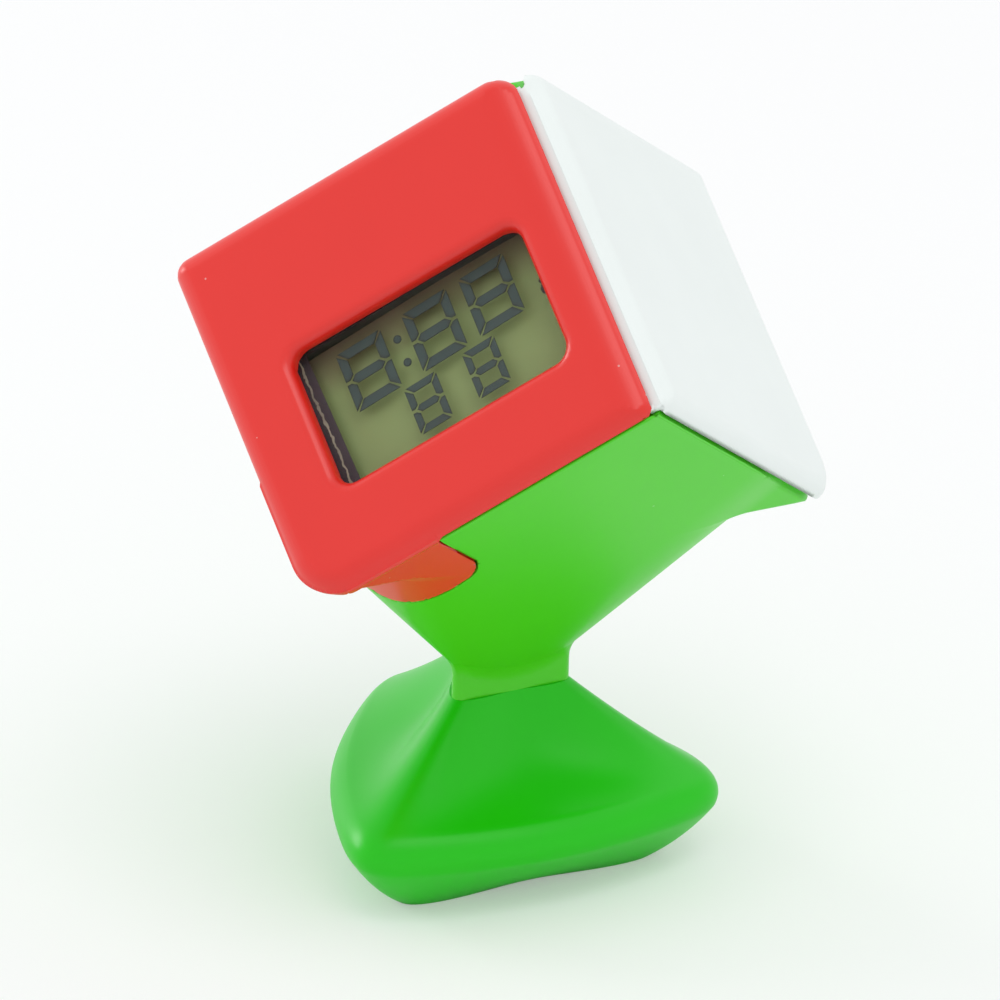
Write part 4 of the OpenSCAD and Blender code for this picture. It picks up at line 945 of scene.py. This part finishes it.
seal_piece = prisms("display_seal", [[
    (outer, fill_low), (outer, low), (-outer, low), (-outer, top), (outer, top), (outer, fill_high),
    (outer - line_w, fill_high), (outer - line_w, top - top_w), (strip, top - top_w), (strip, low + line_w),
    (outer - line_w, low + line_w), (outer - line_w, fill_low)]], *cell)
resin_piece = prisms("filling_resin", [[
    (half_w + 0.3, -0.2), (half_w + 0.3, 2.0), (11.3, 1.9), (10.95, 1.95), (10.7, 1.6), (10.85, 1.25),
    (10.6, 0.9), (10.65, 0.45), (10.95, 0.2), (11.4, -0.1)]], *cell)
foil_w, foil_low = half_w - 0.3, -half_h + 0.3
reflector_piece = prisms(
    "olive_reflector", [[(-foil_w, foil_low), (foil_w, foil_low), (foil_w, rear_top), (-foil_w, rear_top)]],
    rear_glass - film_thick, rear_glass - 0.03)
print("seal", len(seal_piece.data.vertices), "vertices")


# %% Figure eight
digit_gap, digit_lean = 0.16, math.radians(2)


def figure_eight(w, h, s):
    """Seven outlines of a digit with bars of width s. Its lower left corner is at the origin."""
    g = digit_gap
    bar = [(g, 0), (w - g, 0), (w - s - g / 2, s), (s + g / 2, s)]
    post = [(0, g), (s, s + g / 2), (s, h / 2 - s / 2 - g / 2), (s / 2, h / 2 - g), (0, h / 2 - g)]
    waist = [(s / 2 + g, h / 2), (s + g, h / 2 + s / 2), (w - s - g, h / 2 + s / 2), (w - s / 2 - g, h / 2),
             (w - s - g, h / 2 - s / 2), (s + g, h / 2 - s / 2)]
    turned = [waist, bar, [(x, h - y) for x, y in bar]]
    turned += [[(w - x if fx else x, h - y if fy else y) for x, y in post] for fx in (0, 1) for fy in (0, 1)]
    return [[(x + y * math.tan(digit_lean), y) for x, y in outline] for outline in turned]


dot_r = 0.38
dot = [(dot_r * math.cos(t), dot_r * math.sin(t)) for t in np.linspace(0, 2 * math.pi, 13)[:-1]]
kinds = {"Large digit": prisms("large_digit", figure_eight(4.5, 5.6, 0.86), *cell, spot=False, inset=0.2),
         "Small digit": prisms("small_digit", figure_eight(3.2, 4.4, 0.66), *cell, spot=False, inset=0.15),
         "Dot": prisms("dot", [dot], *cell, spot=False, inset=0.15)}
spots = [(x, 0.05, 0) for x in (-8.35, -1.65, 4.15)] + [(x, -4.8, 1) for x in (-4.05, 1.85)]
spots += [(-2.6, y, 2) for y in (1.65, 3.95)]
places = bpy.data.meshes.new("digit_places")
places.from_pydata(glass_spot([(x, y, 0) for x, y, _ in spots]).tolist(), [], [])
places.attributes.new("kind", "FLOAT", "POINT").data.foreach_set("value", [float(k) for _, _, k in spots])

# %% Digit tree
digit_tree, size_of, start, end = geometry_tree(
    "digits on the glass",
    [(label, "NodeSocketObject", None) for label in kinds] + [("Material", "NodeSocketMaterial", None)])
new, link = digit_tree.nodes.new, digit_tree.links.new
joined, real, painted = (
    new("GeometryNode" + kind) for kind in ("JoinGeometry", "RealizeInstances", "SetMaterial"))
kind_here = node(digit_tree, "GeometryNodeInputNamedAttribute", data_type="FLOAT", Name="kind")
for k, label in enumerate(kinds):
    source, copies = new("GeometryNodeObjectInfo"), new("GeometryNodeInstanceOnPoints")
    same = node(digit_tree, "FunctionNodeCompare", operation="EQUAL", B=float(k))
    link(kind_here.outputs[0], same.inputs[0])
    link(size_of[label].socket, source.inputs["Object"])
    link(start.outputs[0], copies.inputs["Points"])
    link(same.outputs[0], copies.inputs["Selection"])
    link(source.outputs["Geometry"], copies.inputs["Instance"])
    link(copies.outputs[0], joined.inputs[0])
link(size_of["Material"].socket, painted.inputs["Material"])
chained(digit_tree, joined, real, painted, end)
digits_piece = baked("display_digits", digit_tree, places, {**kinds, "Material": ink})
for source in kinds.values():
    bpy.data.objects.remove(source)
foot_piece = baked("green_foot", foot_tree, bpy.data.meshes.new("foot_start"), {"Material": green_foot_shaded})

# %% [markdown]
# ## Dress the nodes
# The CAD nodes whose shape is right keep their mesh and get a finish. The four mouldings that show and
# the display's pieces take the place of their CAD nodes.

# %% Assign
def dress(obj, material):
    obj.data.materials.clear()
    obj.data.materials.append(material)


finishes = {
    "foot_screw": steel, "foot_plug": green_foot_shaded, "lcd_frame": frame_white, "zebra_strip": rubber,
    "circuit_board": board, "chip_blob": resin, "crystal": nickel, "chip_capacitors": ceramic,
    "chip_resistors": black,
    "board_screws": steel, "start_switch": black, "start_plunger": ivory, "reset_button": white,
    "reset_switch": black, "reset_plunger": ivory, "battery_door": green, "battery_door_screws": steel,
    "button_cell": nickel, "negative_contact": brass, "positive_contact": brass,
    "positive_wire": wire_red, "negative_wire": wire_black}
for name, material in finishes.items():
    dress(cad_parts[name], material)
for piece, material, replaced, body, slot in (
        (body_piece, green, ["body_shell"], "housing", "green_body"),
        (cap_piece, red, ["display_cap"], "housing", "red_cap"),
        (plate_piece, white, ["start_plate"], "start_plate", "white_plate"),
        (foot_piece, green_foot_shaded, ["foot"], "housing", "green_foot"),
        (block_piece, film, ["front_polarizer", "lcd_front_glass", "lcd_rear_glass"], "housing", "lcd_glass"),
        (digits_piece, ink, ["lcd_segments"], "housing", "lcd_ink"),
        (seal_piece, seal, ["lcd_seal"], "housing", "lcd_seal_line"),
        (resin_piece, resin, ["lcd_fill_plug"], "housing", "lcd_resin"),
        (reflector_piece, olive, ["rear_reflector"], "housing", "reflector_film")):
    dress(piece, material)
    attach(piece, body)
    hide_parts(*replaced)
print(len(finishes), "nodes dressed")

# %% [markdown]
# ## Floor, light and background
# The photograph was taken on white, in light that comes from all round. The floor takes the timer's
# soft shadow, and a share of plain white in it keeps it pale. The background is white for the camera
# and in reflections, and a little darker where it only lights a surface.

# %% Floor
reach, flat_white = 3.0, 0.3
corners = np.array([(-1, -1, 0), (1, -1, 0), (1, 1, 0), (-1, 1, 0)]) * reach
floor = piece_from("floor", corners, [[0, 1, 2, 3]])
floor_paper, tree, bsdf = new_material("pale floor", Base_Color=(0.96, 0.96, 0.96, 1), Roughness=0.9)
path = tree.nodes.new("ShaderNodeLightPath")
lit = node(tree, "ShaderNodeEmission", Strength=1.0)
blend = tree.nodes.new("ShaderNodeMixShader")
plug(tree, Sum(tree, path.outputs["Is Camera Ray"]) * flat_white, blend.inputs[0])
tree.links.new(bsdf.outputs[0], blend.inputs[1])
tree.links.new(lit.outputs[0], blend.inputs[2])
chained(tree, blend, tree.nodes["Material Output"])
dress(floor, floor_paper)

# %% World and lamps
world = bpy.data.worlds.new("studio")
bpy.context.scene.world = world
world.use_nodes = True
tree = world.node_tree
sky = tree.nodes["Background"]
path = tree.nodes.new("ShaderNodeLightPath")
seen, mirrored, through = (
    Sum(tree, path.outputs[f"Is {kind} Ray"]) for kind in ("Camera", "Glossy", "Transmission"))
direct = seen.made("MAXIMUM", mirrored.made("MAXIMUM", through))
plug(tree, mix_node(tree, direct, (0.77, 0.78, 0.79, 1), (1, 1, 1, 1)), sky.inputs["Color"])
sky.inputs["Strength"].default_value = 1.0


def softbox(name, place, aim, size, power):
    lamp = bpy.data.lights.new(name, "AREA")
    lamp.shape, lamp.size, lamp.energy = "DISK", size, power
    holder = bpy.data.objects.new(name, lamp)
    holder.location = place
    holder.rotation_euler = (Vector(aim) - Vector(place)).to_track_quat("-Z", "Y").to_euler()
    bpy.context.collection.objects.link(holder)


softbox("key", (0.24, -0.14, 0.84), (0, 0, 0.04), 0.58, 1.55)
softbox("side", (0.34, 0.52, 0.62), (0, 0, 0.04), 0.5, 0.3)
softbox("left", (-0.8, -0.1, 0.2), (0, 0, 0.03), 0.36, 1.6)

# %% Finish
bpy.context.scene.view_settings.view_transform = "Standard"
